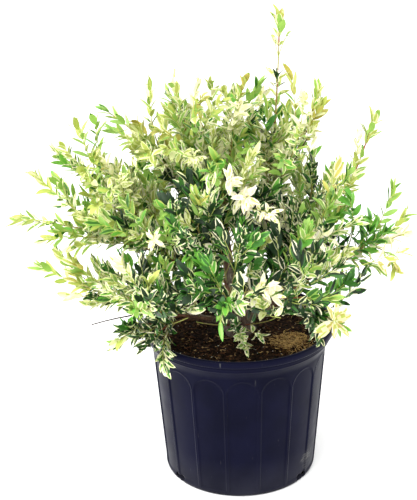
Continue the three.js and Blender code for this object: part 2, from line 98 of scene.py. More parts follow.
# Side shoots along the stem of a mass, which has leaves on this share of it. They are longest at its root.
# One that finds no room is tried again with these turns, in radians, and a little shorter each time.
STEM_LEAFY = 0.75
SHOOT_FIRST = 0.4
SHOOT_SPACING = 15
SHOOT_ANGLE = 30
ANGLE_RANGE = 18
GOLDEN_TURN = 137.5
SHOOT_TURN_PLAY = 0.7
SHOOT_LENGTH = 128
SHOOT_LENGTHS = (1.25, 0.4)
SHOOT_LENGTH_PLAY = (0.5, 1.15)
SHORTEST_SHOOT = 24
SHOOT_TRIALS = (0, 0.9, -0.9, 1.8, -1.8, 3.1)
SHORTENED = 0.9
SHOOT_SHARE = 0.5
SHOOT_TIP = 0.45
SHOOT_RISE = 0.22
SHOOT_CURL = 0.12
# Small shoots on a side shoot of at least this length.
TWIGLET_FROM = 70
TWIGLET_SPACING = 38
TWIGLET_ANGLE = 32
TWIGLET_TURN_PLAY = 1.5
TWIGLET_SHARE = 0.42
TWIGLET_PLACES = (0.15, 0.7)
TWIGLET_LENGTHS = (0.7, 1.1)

# Leaves at life size. A pair near a twig's tip is smaller, closer to the next and held further forward.
LEAF_LENGTH = 27
LEAF_SLIMNESS = 0.34
LEAF_STATIONS = np.array([0.07, 0.2, 0.42, 0.66, 0.86])
LEAF_BREADTHS = np.array([0.14, 0.72, 1.0, 0.9, 0.5])
FIRST_PAIR = 3
FIRST_PAIR_PLAY = (0.6, 1.2)
PAIR_SPACING = (8, 12)
SPACING_PLAY = (0.85, 1.15)
PAIR_ANGLE = (14, 40)
PAIR_SIZE = (1.0, 0.92)
STAR_ANGLE = (50, 62)
GROWN_AT = 46
END_LEAF = 0.8
END_LEAF_ANGLE = 6
LEAF_SIZES = (0.8, 1.15)
# How far a leaf strays from the rule in its angle, in degrees, and in its side of the twig and its pair's
# turn, in radians.
ANGLE_PLAY = 9
SIDE_PLAY = 0.25
TURN_PLAY = 0.35
# Its upper side faces this much along its twig, upwards and out of the crown, and strays by the last.
FACE_AHEAD = 0.4
FACE_UP = 0.4
FACE_OUT = 0.6
FACE_PLAY = 0.3
# Leaves are young up to this share of the way back from a twig's tip, and all are old after this much more.
OLD_FROM = 0.2
OLD_OVER = 0.35
# A leaf's bend, twist and fold in radians, its breadth beside the usual, and how far out its margin begins.
LEAF_BENDS = (0.05, 0.7)
LEAF_TWISTS = (-0.5, 0.5)
LEAF_FOLDS = (0.06, 0.38)
BREADTH_PLAY = (0.86, 1.16)
MARGIN_PLACES = (0.35, 0.75)

# The crown's outline seen from the front, by an eye this far from the pot's axis and this high: places across
# and up in the upright plane through the axis.
EYE_DISTANCE = 1600
EYE_HEIGHT = 968
CROWN_OUTLINE = np.array([
    (-340, 412), (-276, 512), (-200, 578), (-123, 598), (-65, 600), (30, 608), (34, 700),
    (92, 700), (94, 606), (140, 574), (124, 498), (156, 468), (168, 556), (222, 552),
    (210, 470), (238, 414), (264, 376), (232, 304), (156, 276), (194, 250), (176, 178),
    (91, 162), (-59, 164), (-141, 134), (-206, 178), (-200, 236), (-284, 266), (-302, 330),
])
OUTLINE_CENTRE = np.array([-25, 370])
# Each shoot is held inside the outline by a share of its own between these, so the crown thins out there.
SHOOT_HOLD = (1.08, 1.65)
# The crown's depth: how far in front of the pot's axis and behind it the twigs reach.
CROWN_DEPTH = (-252, 268)
# Side shoots stay below this, so only the leader rises above the crown.
SHOOT_TOP = 604

# Gaps in the crown's front, where the stems show: place across and up in that plane, half width and height.
WINDOWS = [
    ((-12, 318), (9, 50)),
    ((-19, 428), (7, 28)),
    ((12, 292), (7, 38)),
    ((-62, 228), (44, 20)),
    ((62, 224), (38, 18)),
]

# How far a mass runs into its neighbours, how clear of the pot it stays, and how low its leaves reach.
SPACE_OVERLAP = 34
POT_MARGIN = 3
UNDERSIDE = 262
# The seed of the first mass's random draws, and how much higher each next mass's is.
FIRST_SEED = 101
SEED_STEP = 7

# Main stems from the crown: azimuth, how far out and how high they fork.
STEMS = {
    "left_low": (196, 84, 258),
    "left": (170, 96, 330),
    "centre": (160, 30, 392),
    "leader": (14, 42, 398),
    "right": (350, 84, 290),
    "front": (262, 70, 300),
    "back": (98, 88, 306),
}

# A stretch past the tip of any twig, for a twig with none left bare.
NO_STRETCH = (2, 2)


@dataclass
class Mass:
    """A mass of foliage and its bough, which are one limb. A place along a limb is a share of it."""

    # The main stem that bears it, and where on that stem it starts.
    stem: str
    at: float
    # The azimuth, distance out and height of its furthest leaf.
    azimuth: float
    out: float
    up: float
    # Where the bough ends and the mass begins.
    bare: float
    # How long its side shoots are beside those of a full mass.
    spread: float
    # The lowest height that its leaves reach.
    low: float = UNDERSIDE
    # A stretch of its stem with no leaves.
    bald: tuple = NO_STRETCH
    # How far along its stem the side shoots go on.
    last: float = 0.86
    # The tone of its tip, where that isn't left to its place.
    tone: str = ""


MASSES = {
    "left_low": Mass("left_low", 1, 186, 264, 291, 0.14, 0.8),
    "left_brim": Mass("left_low", 0.8, 209, 212, 246, 0.2, 0.7, low=225),
    "front_brim": Mass("left_low", 0.7, 221, 192, 246, 0.2, 0.7, low=188),
    "front_left": Mass("left_low", 0.45, 232, 240, 340, 0.26, 1, low=290),
    "left_far": Mass("left", 0.84, 180, 330, 400, 0.12, 0.8),
    "left_high": Mass("left", 1, 175, 268, 500, 0.2, 1),
    "left_inner": Mass("left", 0.4, 216, 150, 400, 0.22, 1),
    "back_left": Mass("left", 0.6, 136, 268, 390, 0.24, 1),
    "crest_left": Mass("centre", 0.82, 172, 196, 562, 0.18, 1),
    "crest": Mass("centre", 1, 190, 96, 592, 0.12, 1),
    "centre": Mass("centre", 0.5, 262, 72, 470, 0.24, 1),
    "top": Mass("centre", 0.66, 60, 20, 594, 0.36, 0.9),
    "leader": Mass("leader", 1, 3, 62, 691, 0.16, 0.5, bald=(0.68, 0.85), last=0.44, tone="pale"),
    "top_right": Mass("leader", 0.78, 354, 124, 576, 0.34, 0.8),
    "right_high": Mass("right", 0.78, 2, 198, 544, 0.3, 0.55, bald=(0.78, 0.86), last=0.66, tone="lime"),
    "right_far": Mass("right", 1, 357, 254, 380, 0.14, 0.9),
    "right_low": Mass("right", 0.55, 328, 186, 262, 0.3, 0.7, low=235),
    "right_inner": Mass("right", 0.4, 322, 150, 420, 0.22, 1),
    "right_upper": Mass("right", 0.62, 12, 118, 474, 0.2, 1),
    "front": Mass("front", 0.8, 266, 244, 366, 0.2, 1, low=322),
    "front_high": Mass("front", 1, 246, 176, 476, 0.2, 1),
    "front_right": Mass("front", 0.6, 305, 232, 350, 0.28, 1, low=290),
    "back": Mass("back", 0.8, 94, 268, 360, 0.2, 1),
    "back_right": Mass("back", 0.66, 42, 246, 396, 0.26, 1),
    "back_high": Mass("back", 1, 104, 150, 520, 0.2, 1),
}

# Single sprays that stand out of their mass: where each leaves the mass's stem, its tip's place, its tone,
# the size of its leaves and, where most of it is bare, the share of it that has leaves. A star holds them wide
# round its tip. A mostly bare one is thicker at its root.
SPRAY_LEAFY = 0.8
LEAFY_SPRAY_ROOT = 1.1
BARE_SPRAY_ROOT = 1.4
SPRAYS = {
    "left_low": [
        (0.6, (-250, -40, 354), "lime", 1),
        (0.4, (-230, -50, 345), "lime", 1),
        (0.45, (-229, -50, 319), "gold", 0.95),
        (0.4, (-210, -60, 288), "pale", 0.95),
        (0.55, (-275, -40, 336), "lime", 1),
        (0.5, (-227, -60, 352), "gold", 0.95),
        (0.6, (-207, -60, 300), "edged", 0.95),
    ],
    "left_brim": [
        (0.6, (-171, -62, 226), "edged", 1),
        (0.7, (-159, -80, 256), "edged", 1),
    ],
    "front_brim": [
        (0.5, (-104, -130, 226), "dappled", 1),
        (0.4, (-106, -112, 232), "edged", 1),
        (0.45, (-69, -120, 292), "edged", 1),
    ],
    "left_far": [
        (0.5, (-297, -40, 412), "lime", 0.95),
        (0.45, (-277, -20, 464), "lime", 1.05),
        (0.4, (-252, 20, 439), "fresh", 1),
        (0.4, (-267, -60, 386), "lime", 1),
        (0.35, (-251, -30, 387), "fresh", 1),
        (0.3, (-224, -60, 376), "lime", 0.95),
        (0.55, (-244, -20, 446), "lime", 0.95),
        (0.35, (-216, -50, 419), "pale", 0.95),
        (0.3, (-196, -70, 420), "lime", 1),
    ],
    "left_high": [
        (0.62, (-238, -10, 501), "lime", 0.9),
        (0.55, (-219, 0, 528), "lime", 1.05),
        (0.5, (-191, -30, 543), "fresh", 0.95),
        (0.5, (-192, -60, 504), "gold", 1),
        (0.45, (-205, -80, 488), "lime", 1),
        (0.35, (-168, -110, 475), "lime", 1),
        (0.3, (-190, -100, 452), "lime", 0.95),
        (0.25, (-155, -100, 488), "pale", 0.95),
        (0.35, (-200, -30, 459), "lime", 1),
        (0.3, (-161, -40, 480), "pale", 1),
    ],
    "left_inner": [
        (0.7, (-147, -130, 460), "fresh", 0.95),
        (0.8, (-183, -116, 430), "fresh", 1),
        (0.8, (-178, -80, 424), "lime", 1),
        (0.8, (-111, -140, 417), "star", 0.72),
        (0.7, (-88, -142, 436), "fresh", 1),
        (0.75, (-66, -150, 416), "star", 0.65),
    ],
    "back_left": [
        (0.4, (-104, 128, 500), "fresh", 1),
        (0.5, (-150, 160, 470), "lime", 1),
        (0.6, (-208, 112, 330), "edged", 1),
    ],
    "crest_left": [
        (0.5, (-134, -10, 534), "gold", 1),
        (0.45, (-146, -60, 531), "lime", 1),
        (0.6, (-119, 10, 580), "lime", 1),
        (0.4, (-178, 60, 510), "fresh", 0.95),
        (0.3, (-120, -92, 520), "lime", 1),
        (0.35, (-135, -30, 505), "lime", 1),
    ],
    "crest": [
        (0.35, (-92, -104, 528), "lime", 1),
        (0.3, (-58, -114, 520), "pale", 0.95),
        (0.55, (-82, -30, 589), "lime", 1.1),
        (0.6, (-55, 30, 578), "cream", 0.9),
        (0.45, (-102, -70, 543), "gold", 1),
        (0.55, (-47, -70, 582), "gold", 1.15),
        (0.5, (-21, -70, 579), "lime", 1.1),
    ],
    "centre": [
        (0.5, (-26, -130, 518), "fresh", 0.95),
        (0.6, (28, -106, 503), "lime", 0.95),
        (0.75, (20, -100, 512), "pale", 1),
        (0.8, (-9, -165, 506), "star", 0.78),
        (0.7, (14, -166, 480), "star", 0.8),
        (0.75, (-34, -160, 514), "fresh", 1),
        (0.6, (44, -158, 456), "star", 0.7),
    ],
    "top": [
        (0.75, (-16, -20, 580), "lime", 1),
        (0.8, (10, -10, 590), "gold", 1),
        (0.7, (6, -60, 576), "cream", 1),
        (0.45, (19, -84, 524), "fresh", 1),
        (0.3, (20, 40, 520), "green", 1.1),
    ],
    "leader": [
        (0.2, (39, -30, 542), "green", 1.1),
        (0.5, (56, -20, 600), "deep", 0.85, 0.3),
        (0.9, (60, -4, 676), "gold", 1, 0.8),
        (0.84, (51, -8, 652), "dappled", 0.5, 0.4),
        (0.84, (70, -8, 656), "dappled", 0.5, 0.4),
    ],
    "top_right": [
        (0.4, (84, -88, 545), "lime", 1),
        (0.35, (60, -104, 514), "fresh", 0.95),
        (0.62, (78, 20, 589), "gold", 1.15),
        (0.75, (111, -10, 576), "lime", 1),
        (0.6, (91, -50, 577), "cream", 1),
    ],
    "right_high": [
        (0.86, (191, -4, 534), "lime", 1.1, 0.6),
        (0.72, (170, -4, 512), "cream", 0.6, 0.6),
    ],
    "right_far": [
        (0.6, (183, -60, 408), "bright", 1.05),
        (0.5, (206, -40, 385), "bright", 1.05),
        (0.75, (218, -70, 341), "gold", 1),
        (0.7, (237, 10, 386), "lime", 0.95),
        (0.62, (220, 0, 432), "fresh", 0.9),
        (0.5, (196, -40, 329), "fresh", 0.9),
        (0.45, (156, -50, 435), "bright", 1.05),
        (0.5, (180, -60, 394), "green", 1.15),
        (0.5, (201, -30, 366), "cream", 1),
    ],
    "right_low": [
        (0.7, (130, -138, 292), "gold_star", 1.25, 0.42),
        (0.5, (96, -118, 288), "deep", 1.15),
        (0.3, (150, -70, 326), "bright", 1),
        (0.6, (102, -100, 283), "edged", 1.2),
        (0.5, (110, -110, 257), "edged", 1),
        (0.7, (176, -40, 317), "edged", 1),
        (0.4, (147, -90, 327), "green", 1.1),
    ],
    "right_inner": [
        (0.9, (132, -80, 487), "gold", 0.95),
        (0.8, (153, -80, 410), "dappled", 1),
        (0.8, (149, -70, 479), "fresh", 0.9),
        (0.8, (104, -125, 406), "star", 0.8, 0.25),
        (0.6, (125, -90, 449), "fresh", 1),
    ],
    "right_upper": [
        (0.7, (139, -50, 464), "gold_star", 0.95),
        (0.7, (105, -20, 480), "edged", 1),
    ],
    "front": [
        (0.6, (36, -196, 370), "star", 0.95, 0.35),
        (0.5, (44, -192, 354), "star", 0.95, 0.35),
        (0.75, (-42, -196, 398), "bright", 1.1),
        (0.4, (-25, -156, 304), "bright", 1.1),
    ],
    "front_high": [
        (0.8, (-44, -172, 476), "gold", 0.8),
        (0.7, (-62, -176, 402), "bright", 1.1),
    ],
    "front_right": [
        (0.3, (219, -76, 366), "gold_star", 1, 0.22),
    ],
    "back": [
        (0.4, (44, 176, 440), "dappled", 1),
        (0.5, (-60, 226, 424), "lime", 1),
        (0.55, (58, 222, 410), "pale", 1),
        (0.6, (12, 246, 312), "edged", 1),
    ],
    "back_right": [
        (0.4, (84, 104, 510), "dappled", 1),
        (0.45, (112, 128, 440), "fresh", 1),
        (0.35, (76, 150, 470), "lime", 1),
        (0.5, (120, 160, 470), "cream", 1),
        (0.6, (196, 120, 340), "fresh", 1),
    ],
    "back_high": [
        (0.5, (-36, 84, 566), "lime", 1),
        (0.4, (-84, 96, 540), "fresh", 1),
        (0.45, (-4, 104, 546), "dappled", 1),
        (0.3, (44, 92, 530), "fresh", 1),
        (0.6, (-8, 152, 516), "pale", 1),
        (0.55, (40, 118, 540), "cream", 1),
        (0.6, (-92, 148, 508), "fresh", 1),
        (0.7, (24, 196, 480), "gold", 1),
    ],
}

# Small shoots from the crown, low over the mix: the tip's place, tone, leaf size and leafy share.
BASAL_SHOOTS = [
    ((11, -98, 237), "dappled", 1, 0.4),
    ((2, -92, 250), "dappled", 0.9, 0.4),
    ((30, -88, 250), "dappled", 0.95, 0.4),
    ((-6, -84, 262), "edged", 0.9, 0.8),
    ((52, -60, 262), "deep", 0.9, 0.8),
    ((-60, -60, 258), "deep", 0.9, 0.8),
    ((66, 30, 262), "edged", 0.9, 0.8),
    ((-20, 72, 262), "edged", 0.9, 0.8),
]

# Bare dead twigs: the stem that each leaves, where it does so, and its tip.
BARE_TWIGS = [
    ("left_low", 0.9, (-216, -20, 237)),
    ("right", 0.9, (150, 20, 470)),
    ("leader", 0.8, (96, -40, 520)),
]


def unit(way):
    """The same way, one long."""
    return way / np.linalg.norm(way)


def polar(azimuth, out, up):
    """A place by its azimuth, how far out from the pot's axis it is and its height."""
    turn = math.radians(azimuth)
    return np.array([out * math.cos(turn), out * math.sin(turn), up])


def blend(pair, share):
    """The value a share of the way from the first of a pair to the second."""
    return pair[0] + (pair[1] - pair[0]) * share


def between(value, low, high):
    """How far a value is on its way from low to high, from 0 to 1."""
    return min(1.0, max(0.0, (value - low) / (high - low)))


def eased(share):
    """A share from 0 to 1 that sets off and arrives gently."""
    return share * share * (3 - 2 * share)


def aside(direction, angle, turn):
    """A direction at an angle from another, turned about it. Turn 0 is towards +Z."""
    side = unit(np.cross(direction, BACK if abs(direction[2]) > 0.9 else UP))
    over = np.cross(side, direction)
    off = math.cos(turn) * over + math.sin(turn) * side
    return unit(math.cos(angle) * direction + math.sin(angle) * off)


def along(curve, t):
    """The point at t of a curve with one control point."""
    a, b, c = curve
    return (1 - t) ** 2 * a + 2 * (1 - t) * t * b + t * t * c


def heading(curve, t):
    """The way that the curve runs at t."""
    a, b, c = curve
    return unit((1 - t) * (b - a) + t * (c - b))


def stretch(curve, start, end, steps):
    """Points along part of a curve, evenly by its share."""
    return np.array([along(curve, t) for t in np.linspace(start, end, steps + 1)])


def distances_along(path):
    """How far each point of a path is from its first one, along it."""
    return np.concatenate([[0], np.cumsum(np.linalg.norm(np.diff(path, axis=0), axis=1))])


def stem_curve(name):
    """A stem leaves the crown low and curves upwards to its fork."""
    azimuth, out, up = STEMS[name]
    root = polar(azimuth, 5, SOIL_TOP + CROWN_HEIGHT * 0.5)
    fork = polar(azimuth, out, up)
    bend = (root + fork) / 2 - 0.12 * out * UP
    return root, bend, fork


def reaching_curve(parent, at, furthest):
    """A limb leaves its parent between the parent's heading and its own, and ends at its furthest point."""
    root = along(parent, at)
    reach = np.linalg.norm(furthest - root)
    way = unit(heading(parent, at) + unit(furthest - root))
    return root, root + 0.45 * reach * way, furthest


def mass_curve(mass):
    """A bough and the stem of its mass share one curve, and the last leaf goes on to the furthest point."""
    parent = stem_curve(mass.stem)
    furthest = polar(mass.azimuth, mass.out, mass.up)
    towards = unit(furthest - along(parent, mass.at))
    return reaching_curve(parent, mass.at, furthest - END_LEAF * LEAF_LENGTH * towards)


def distance_to_path(point, path):
    """How far a point is from the nearest of a path's straight stretches."""
    a, b = path[:-1], path[1:]
    ab = b - a
    t = np.clip(np.sum((point - a) * ab, axis=1) / np.sum(ab * ab, axis=1), 0, 1)
    return np.min(np.linalg.norm(a + t[:, None] * ab - point, axis=1))


def near_pot(point):
    """True where the pot, its lip or the potting mix is, with some room around."""
    out = math.hypot(point[0], point[1])
    if point[2] > POT_HEIGHT + POT_MARGIN or out > LIP_RADIUS + POT_MARGIN:
        return False
    return out > LIP_RADIUS - LIP_WIDTH or point[2] < SOIL_TOP + 3 * POT_MARGIN


# The middle line of each mass. A point belongs to the mass whose line is nearest.
SPACES = {name: stretch(mass_curve(mass), mass.bare, 1, 5) for name, mass in MASSES.items()}


def from_front(point):
    """Where a point is seen from the front, across and up in the upright plane through the pot's axis."""
    nearer = EYE_DISTANCE / (point[1] + EYE_DISTANCE)
    return nearer * point[0], EYE_HEIGHT + nearer * (point[2] - EYE_HEIGHT)


def in_outline(point, hold=1):
    """True inside the crown's outline: a line from the point to one side crosses the outline an odd
    number of times. With hold above 1 the point has to be that much further in."""
    x, z = OUTLINE_CENTRE + hold * (np.array(from_front(point)) - OUTLINE_CENTRE)
    (ax, az), (bx, bz) = CROWN_OUTLINE.T, np.roll(CROWN_OUTLINE, -1, axis=0).T
    spans = (az > z) != (bz > z)
    crossing = ax + (z - az) * (bx - ax) / np.where(spans, bz - az, 1)
    return np.count_nonzero(spans & (x < crossing)) % 2 == 1


def in_window(point):
    """True where a leaf would stand in front of the stems in one of the crown's gaps."""
    x, z = from_front(point)
    return point[1] < 10 and any(
        ((x - across) / wide) ** 2 + ((z - up) / high) ** 2 < 1 for (across, up), (wide, high) in WINDOWS
    )


def in_space(point, name, hold):
    """True in a mass's own space, which runs a little way into its neighbours' so that no seam shows."""
    if not MASSES[name].low < point[2] < SHOOT_TOP or not CROWN_DEPTH[0] < point[1] < CROWN_DEPTH[1]:
        return False
    if near_pot(point) or not in_outline(point, hold):
        return False
    mine = distance_to_path(point, SPACES[name])
    others = (space for other, space in SPACES.items() if other != name)
    return all(distance_to_path(point, space) > mine - SPACE_OVERLAP for space in others)


# Tones of foliage: the chances of each colour for a leaf's margin, and for its middle.
TONES = {
    "deep": (dict(deep=6, mid=3, pale=2, cream=1), dict(deep=9, mid=3)),
    "green": (dict(mid=5, bright=4, pale=2), dict(mid=7, bright=2, deep=4)),
    "edged": (dict(cream=4, pale=4, mid=4, deep=3), dict(deep=7, mid=6)),
    "bright": (dict(bright=7, fresh=3, mid=1), dict(bright=7, mid=3, fresh=1)),
    "dappled": (
        dict(cream=5, white=2, pale=3, mid=1),
        dict(fresh=5, bright=2, mid=3, lime=2, pale=3, cream=1),
    ),
    "fresh": (dict(fresh=5, lime=3, pale=2), dict(fresh=7, bright=2, mid=2)),
    "lime": (dict(lime=5, pale=5, cream=1, fresh=2), dict(lime=6, fresh=4, pale=2)),
    "gold": (dict(lime=4, pale=2, gold=3), dict(lime=4, gold=4, fresh=1)),
    "pale": (dict(pale=6, cream=3, lime=1), dict(pale=5, lime=4, fresh=1)),
    "cream": (dict(cream=6, white=3, pale=3), dict(cream=5, pale=4, lime=1)),
    "star": (dict(cream=5, white=5, blush=2, pale=2), dict(cream=3, white=3, pale=4, blush=1, lime=2)),
    "gold_star": (dict(cream=3, gold=3, blush=1, pale=4), dict(pale=3, lime=4, gold=4, cream=1)),
}
LEAF_COLOURS = {
    "deep": "#0f2d0c",
    "mid": "#33681f",
    "bright": "#68ab3a",
    "fresh": "#8db350",
    "lime": "#b2bd5c",
    "gold": "#b9af55",
    "pale": "#e3e6ac",
    "cream": "#eee9c6",
    "white": "#e8e0cf",
    "blush": "#e2c9a2",
}
# Tones whose leaves each have one colour in the middle and one round the margin. The others are dappled.
CALM_TONES = ("deep", "green", "bright", "fresh", "lime", "gold")
# The tone of the older leaves of a single spray, where that isn't the same as its tip's.
OLDER_TONES = {"star": "edged", "gold_star": "edged", "gold": "fresh", "lime": "dappled"}
TONE_NAMES = list(TONES)

CROWN_CENTRE = np.array([-25.0, 0.0, 390.0])
CROWN_HALF_WIDTH = 300
# The painted shade in the heart of the crown as seen from the front, where leaves get darker tones: the height
# of its top, its left and right sides there, how far its left side spreads for each millimetre down, and how
# far it takes to fade upwards and sideways.
SHADE_TOP = 430
SHADE_SIDES = (-55, 95)
SHADE_SPREAD = 0.45
SHADE_FADES = (50, 110)
# Where the painted shade fades towards the back, how much painted light the leaves get there, and how much
# they get where it is deepest.
BACK_FADE = (90, 220)
BACK_LIGHT = 0.7
LEAST_LIGHT = 0.15


def chosen(draw, chances):
    """One of the names, drawn by their chances."""
    weights = np.array(list(chances.values()), float)
    return list(chances)[draw.choice(len(weights), p=weights / weights.sum())]


def tones_at(place, draw):
    """The tone of a shoot's young leaves and of its old ones, which also paints the light on the crown. The
    top, the sides and the back are painted as lit with paler tones, lime on the left and cream on the right,
    with most cream where the light is fullest as a painted highlight. The heart of the crown, its lower front
    and its underside are painted in shade with darker greens."""
    across, up = from_front(place)
    left = (CROWN_CENTRE[0] - place[0]) / CROWN_HALF_WIDTH
    right = max(0.0, -left)
    # Painted light and shade: how lit each place is taken to be, which sets how pale or dark green its leaves
    # are.
    high = between(up, SHADE_TOP, SHADE_TOP + SHADE_FADES[0])
    off_left = SHADE_SIDES[0] - SHADE_SPREAD * (SHADE_TOP - up) - across
    beside = between(max(off_left, across - SHADE_SIDES[1]), 0, SHADE_FADES[1])
    behind = BACK_LIGHT * between(place[1], *BACK_FADE)
    light = min(1.0, LEAST_LIGHT + max(high, beside, behind))
    lime = light * max(0.1, 0.5 + 0.6 * left + 0.3 * high)
    shade = 1 - light
    young = dict(
        deep=2.4 * shade,
        green=1.6 * shade,
        edged=1.6 * shade + 0.5 * right,
        dappled=0.4 + 0.9 * light,
        bright=0.5 * light,
        fresh=0.7 + 0.9 * light,
        lime=2.8 * lime,
        gold=0.4 * lime,
        pale=1.2 * light,
        cream=0.9 * light**4 + 1.2 * right,
    )
    old = dict(
        deep=3.6 * shade,
        green=shade,
        edged=1.7 * shade + 0.2,
        dappled=2.8 * light,
        bright=0.8 * light,
        fresh=1.4 * light,
        lime=0.8 * lime,
        pale=light,
        cream=0.4 * light**4 + 1.6 * right,
    )
    return chosen(draw, young), chosen(draw, old)


@dataclass
class Twig:
    """A path with its start and end radii and the tones of its young and its old leaves."""

    path: np.ndarray
    radii: tuple
    young: str
    old: str
    # The share of it, from its tip, that has leaves, their size beside life, and a stretch with none.
    leafy: float = 0.9
    scale: float = 1
    bald: tuple = NO_STRETCH


def shoot_path(root, way, length, steps=4):
    """A side shoot sets off one way and curls upwards."""
    tip = root + length * way + SHOOT_CURL * length * UP
    return stretch((root, root + 0.55 * length * way, tip), 0, 1, steps)


def grow_twiglets(shoot, name, draw):
    """Small shoots on a long one, to either side of it in turn."""
    length = np.linalg.norm(shoot.path[-1] - shoot.path[0])
    twiglets = []
    if length < TWIGLET_FROM:
        return twiglets
    for k in range(int(length // TWIGLET_SPACING)):
        spot = draw.uniform(*TWIGLET_PLACES) * (len(shoot.path) - 1)
        row = int(spot)
        step = shoot.path[row + 1] - shoot.path[row]
        root = shoot.path[row] + (spot - row) * step
        turn = k * math.pi + draw.random() * TWIGLET_TURN_PLAY
        way = unit(aside(unit(step), math.radians(TWIGLET_ANGLE), turn) + SHOOT_RISE * UP)
        reach = TWIGLET_SHARE * length * draw.uniform(*TWIGLET_LENGTHS)
        path = shoot_path(root, way, reach, steps=3)
        if in_space(path[-1], name, blend(SHOOT_HOLD, draw.random())):
            young, old = tones_at(path[-1], draw)
            thick = SHOOT_SHARE * shoot.radii[0]
            twiglets.append(Twig(path, (max(thick, SHOOT_TIP), SHOOT_TIP), young, old))
    return twiglets


def grow_twigs(name, draw):
    """The twigs of one mass: its stem, the side shoots that find room in its space, and the shoots' own."""
    mass = MASSES[name]
    curve = mass_curve(mass)
    reach = np.linalg.norm(curve[2] - curve[0])
    start = mass.bare
    young, old = tones_at(curve[2], draw)
    path = stretch(curve, start, 1, 12)
    radii = (SPRAY_RADIUS, TIP_RADIUS)
    twigs = [Twig(path, radii, mass.tone or young, old, STEM_LEAFY, bald=mass.bald)]
    first = SHOOT_FIRST * start
    shoots = round(reach * (mass.last - first) / SHOOT_SPACING)
    for k in range(shoots):
        t = first + (mass.last - first) * (k + 0.3 + 0.4 * draw.random()) / shoots
        turn = math.radians(GOLDEN_TURN * k) + draw.random() * SHOOT_TURN_PLAY
        angle = math.radians(SHOOT_ANGLE + ANGLE_RANGE * (draw.random() - 0.5))
        length = mass.spread * SHOOT_LENGTH * blend(SHOOT_LENGTHS, t)
        length *= draw.uniform(*SHOOT_LENGTH_PLAY)
        hold = blend(SHOOT_HOLD, draw.random())
        for swing in SHOOT_TRIALS:
            root = along(curve, t)
            way = unit(aside(heading(curve, t), angle, turn + swing) + SHOOT_RISE * UP)
            path = shoot_path(root, way, length)
            leaf_tip = path[-1] + END_LEAF * LEAF_LENGTH * unit(path[-1] - path[-2])
            far_half = [*path[2:], leaf_tip]
            if length > SHORTEST_SHOOT and all(in_space(point, name, hold) for point in far_half):
                local = blend(radii, max(0, (t - start) / (1 - start)))
                young, old = tones_at(path[-1], draw)
                shoot = Twig(path, (SHOOT_SHARE * local, SHOOT_TIP), young, old)
                twigs += [shoot, *grow_twiglets(shoot, name, draw)]
                break
            length *= SHORTENED
    for at, tip, tone, scale, *leafy in SPRAYS.get(name, ()):
        path = stretch(reaching_curve(curve, at, np.array(tip, float)), 0, 1, 8)
        thick = (BARE_SPRAY_ROOT if leafy else LEAFY_SPRAY_ROOT) * min(1, scale)
        share = leafy[0] if leafy else SPRAY_LEAFY
        twigs.append(Twig(path, (thick, SHOOT_TIP), tone, OLDER_TONES.get(tone, tone), share, scale))
    return twigs


class LeafList:
    """The leaves of one piece: where each is rooted, its direction, the way it faces, its length and tone."""

    def __init__(self):
        self.rows = []

    def add(self, root, way, angle, turn, length, tone, draw):
        """A leaf at an angle from its twig's way, turned about it. One in front of a gap is left out."""
        direction = aside(way, angle, turn)
        if in_window(root + 0.6 * length * direction):
            return
        face = FACE_AHEAD * way + FACE_UP * UP + FACE_OUT * unit(root - CROWN_CENTRE)
        face = face + draw.normal(0, FACE_PLAY, 3)
        face = face - face.dot(direction) * direction
        self.rows.append((*root, *direction, *unit(face), length, TONE_NAMES.index(tone)))


def grow_leaves(twig, draw, leaves):
    """Opposite pairs from a twig's tip backwards, each a right angle from the last, and one end leaf."""
    path = twig.path
    run = distances_along(path)
    length = run[-1]
    star = twig.young in ("star", "gold_star")
    end_way = unit(path[-1] - path[-2])
    full = LEAF_LENGTH * twig.scale
    any_turn = draw.random() * math.tau
    angle = math.radians(END_LEAF_ANGLE)
    leaves.add(path[-1], end_way, angle, any_turn, END_LEAF * full, twig.young, draw)
    back = FIRST_PAIR * draw.uniform(*FIRST_PAIR_PLAY)
    turn = draw.random() * math.tau
    while back < twig.leafy * length:
        row = min(np.searchsorted(run, length - back), len(path) - 1) - 1
        way = unit(path[row + 1] - path[row])
        root = path[row] + way * (length - back - run[row])
        grown = min(1, back / GROWN_AT)
        angle = blend(STAR_ANGLE if star else PAIR_ANGLE, grown)
        size = blend(PAIR_SIZE, grown) * full
        tone = twig.old if draw.random() < (back / length - OLD_FROM) / OLD_OVER else twig.young
        if not twig.bald[0] < 1 - back / length < twig.bald[1]:
            for half in (0, math.pi):
                tilt = math.radians(angle + draw.uniform(-ANGLE_PLAY, ANGLE_PLAY))
                side = turn + half + draw.uniform(-SIDE_PLAY, SIDE_PLAY)
                leaves.add(root, way, tilt, side, size * draw.uniform(*LEAF_SIZES), tone, draw)
        turn += math.pi / 2 + draw.uniform(-TURN_PLAY, TURN_PLAY)
        back += blend(PAIR_SPACING, grown) * draw.uniform(*SPACING_PLAY)


def put_in_scene(name, data):
    """An object with a mesh, a light or a camera as its data."""
    made = bpy.data.objects.new(name, data)
    bpy.context.scene.collection.objects.link(made)
    return made


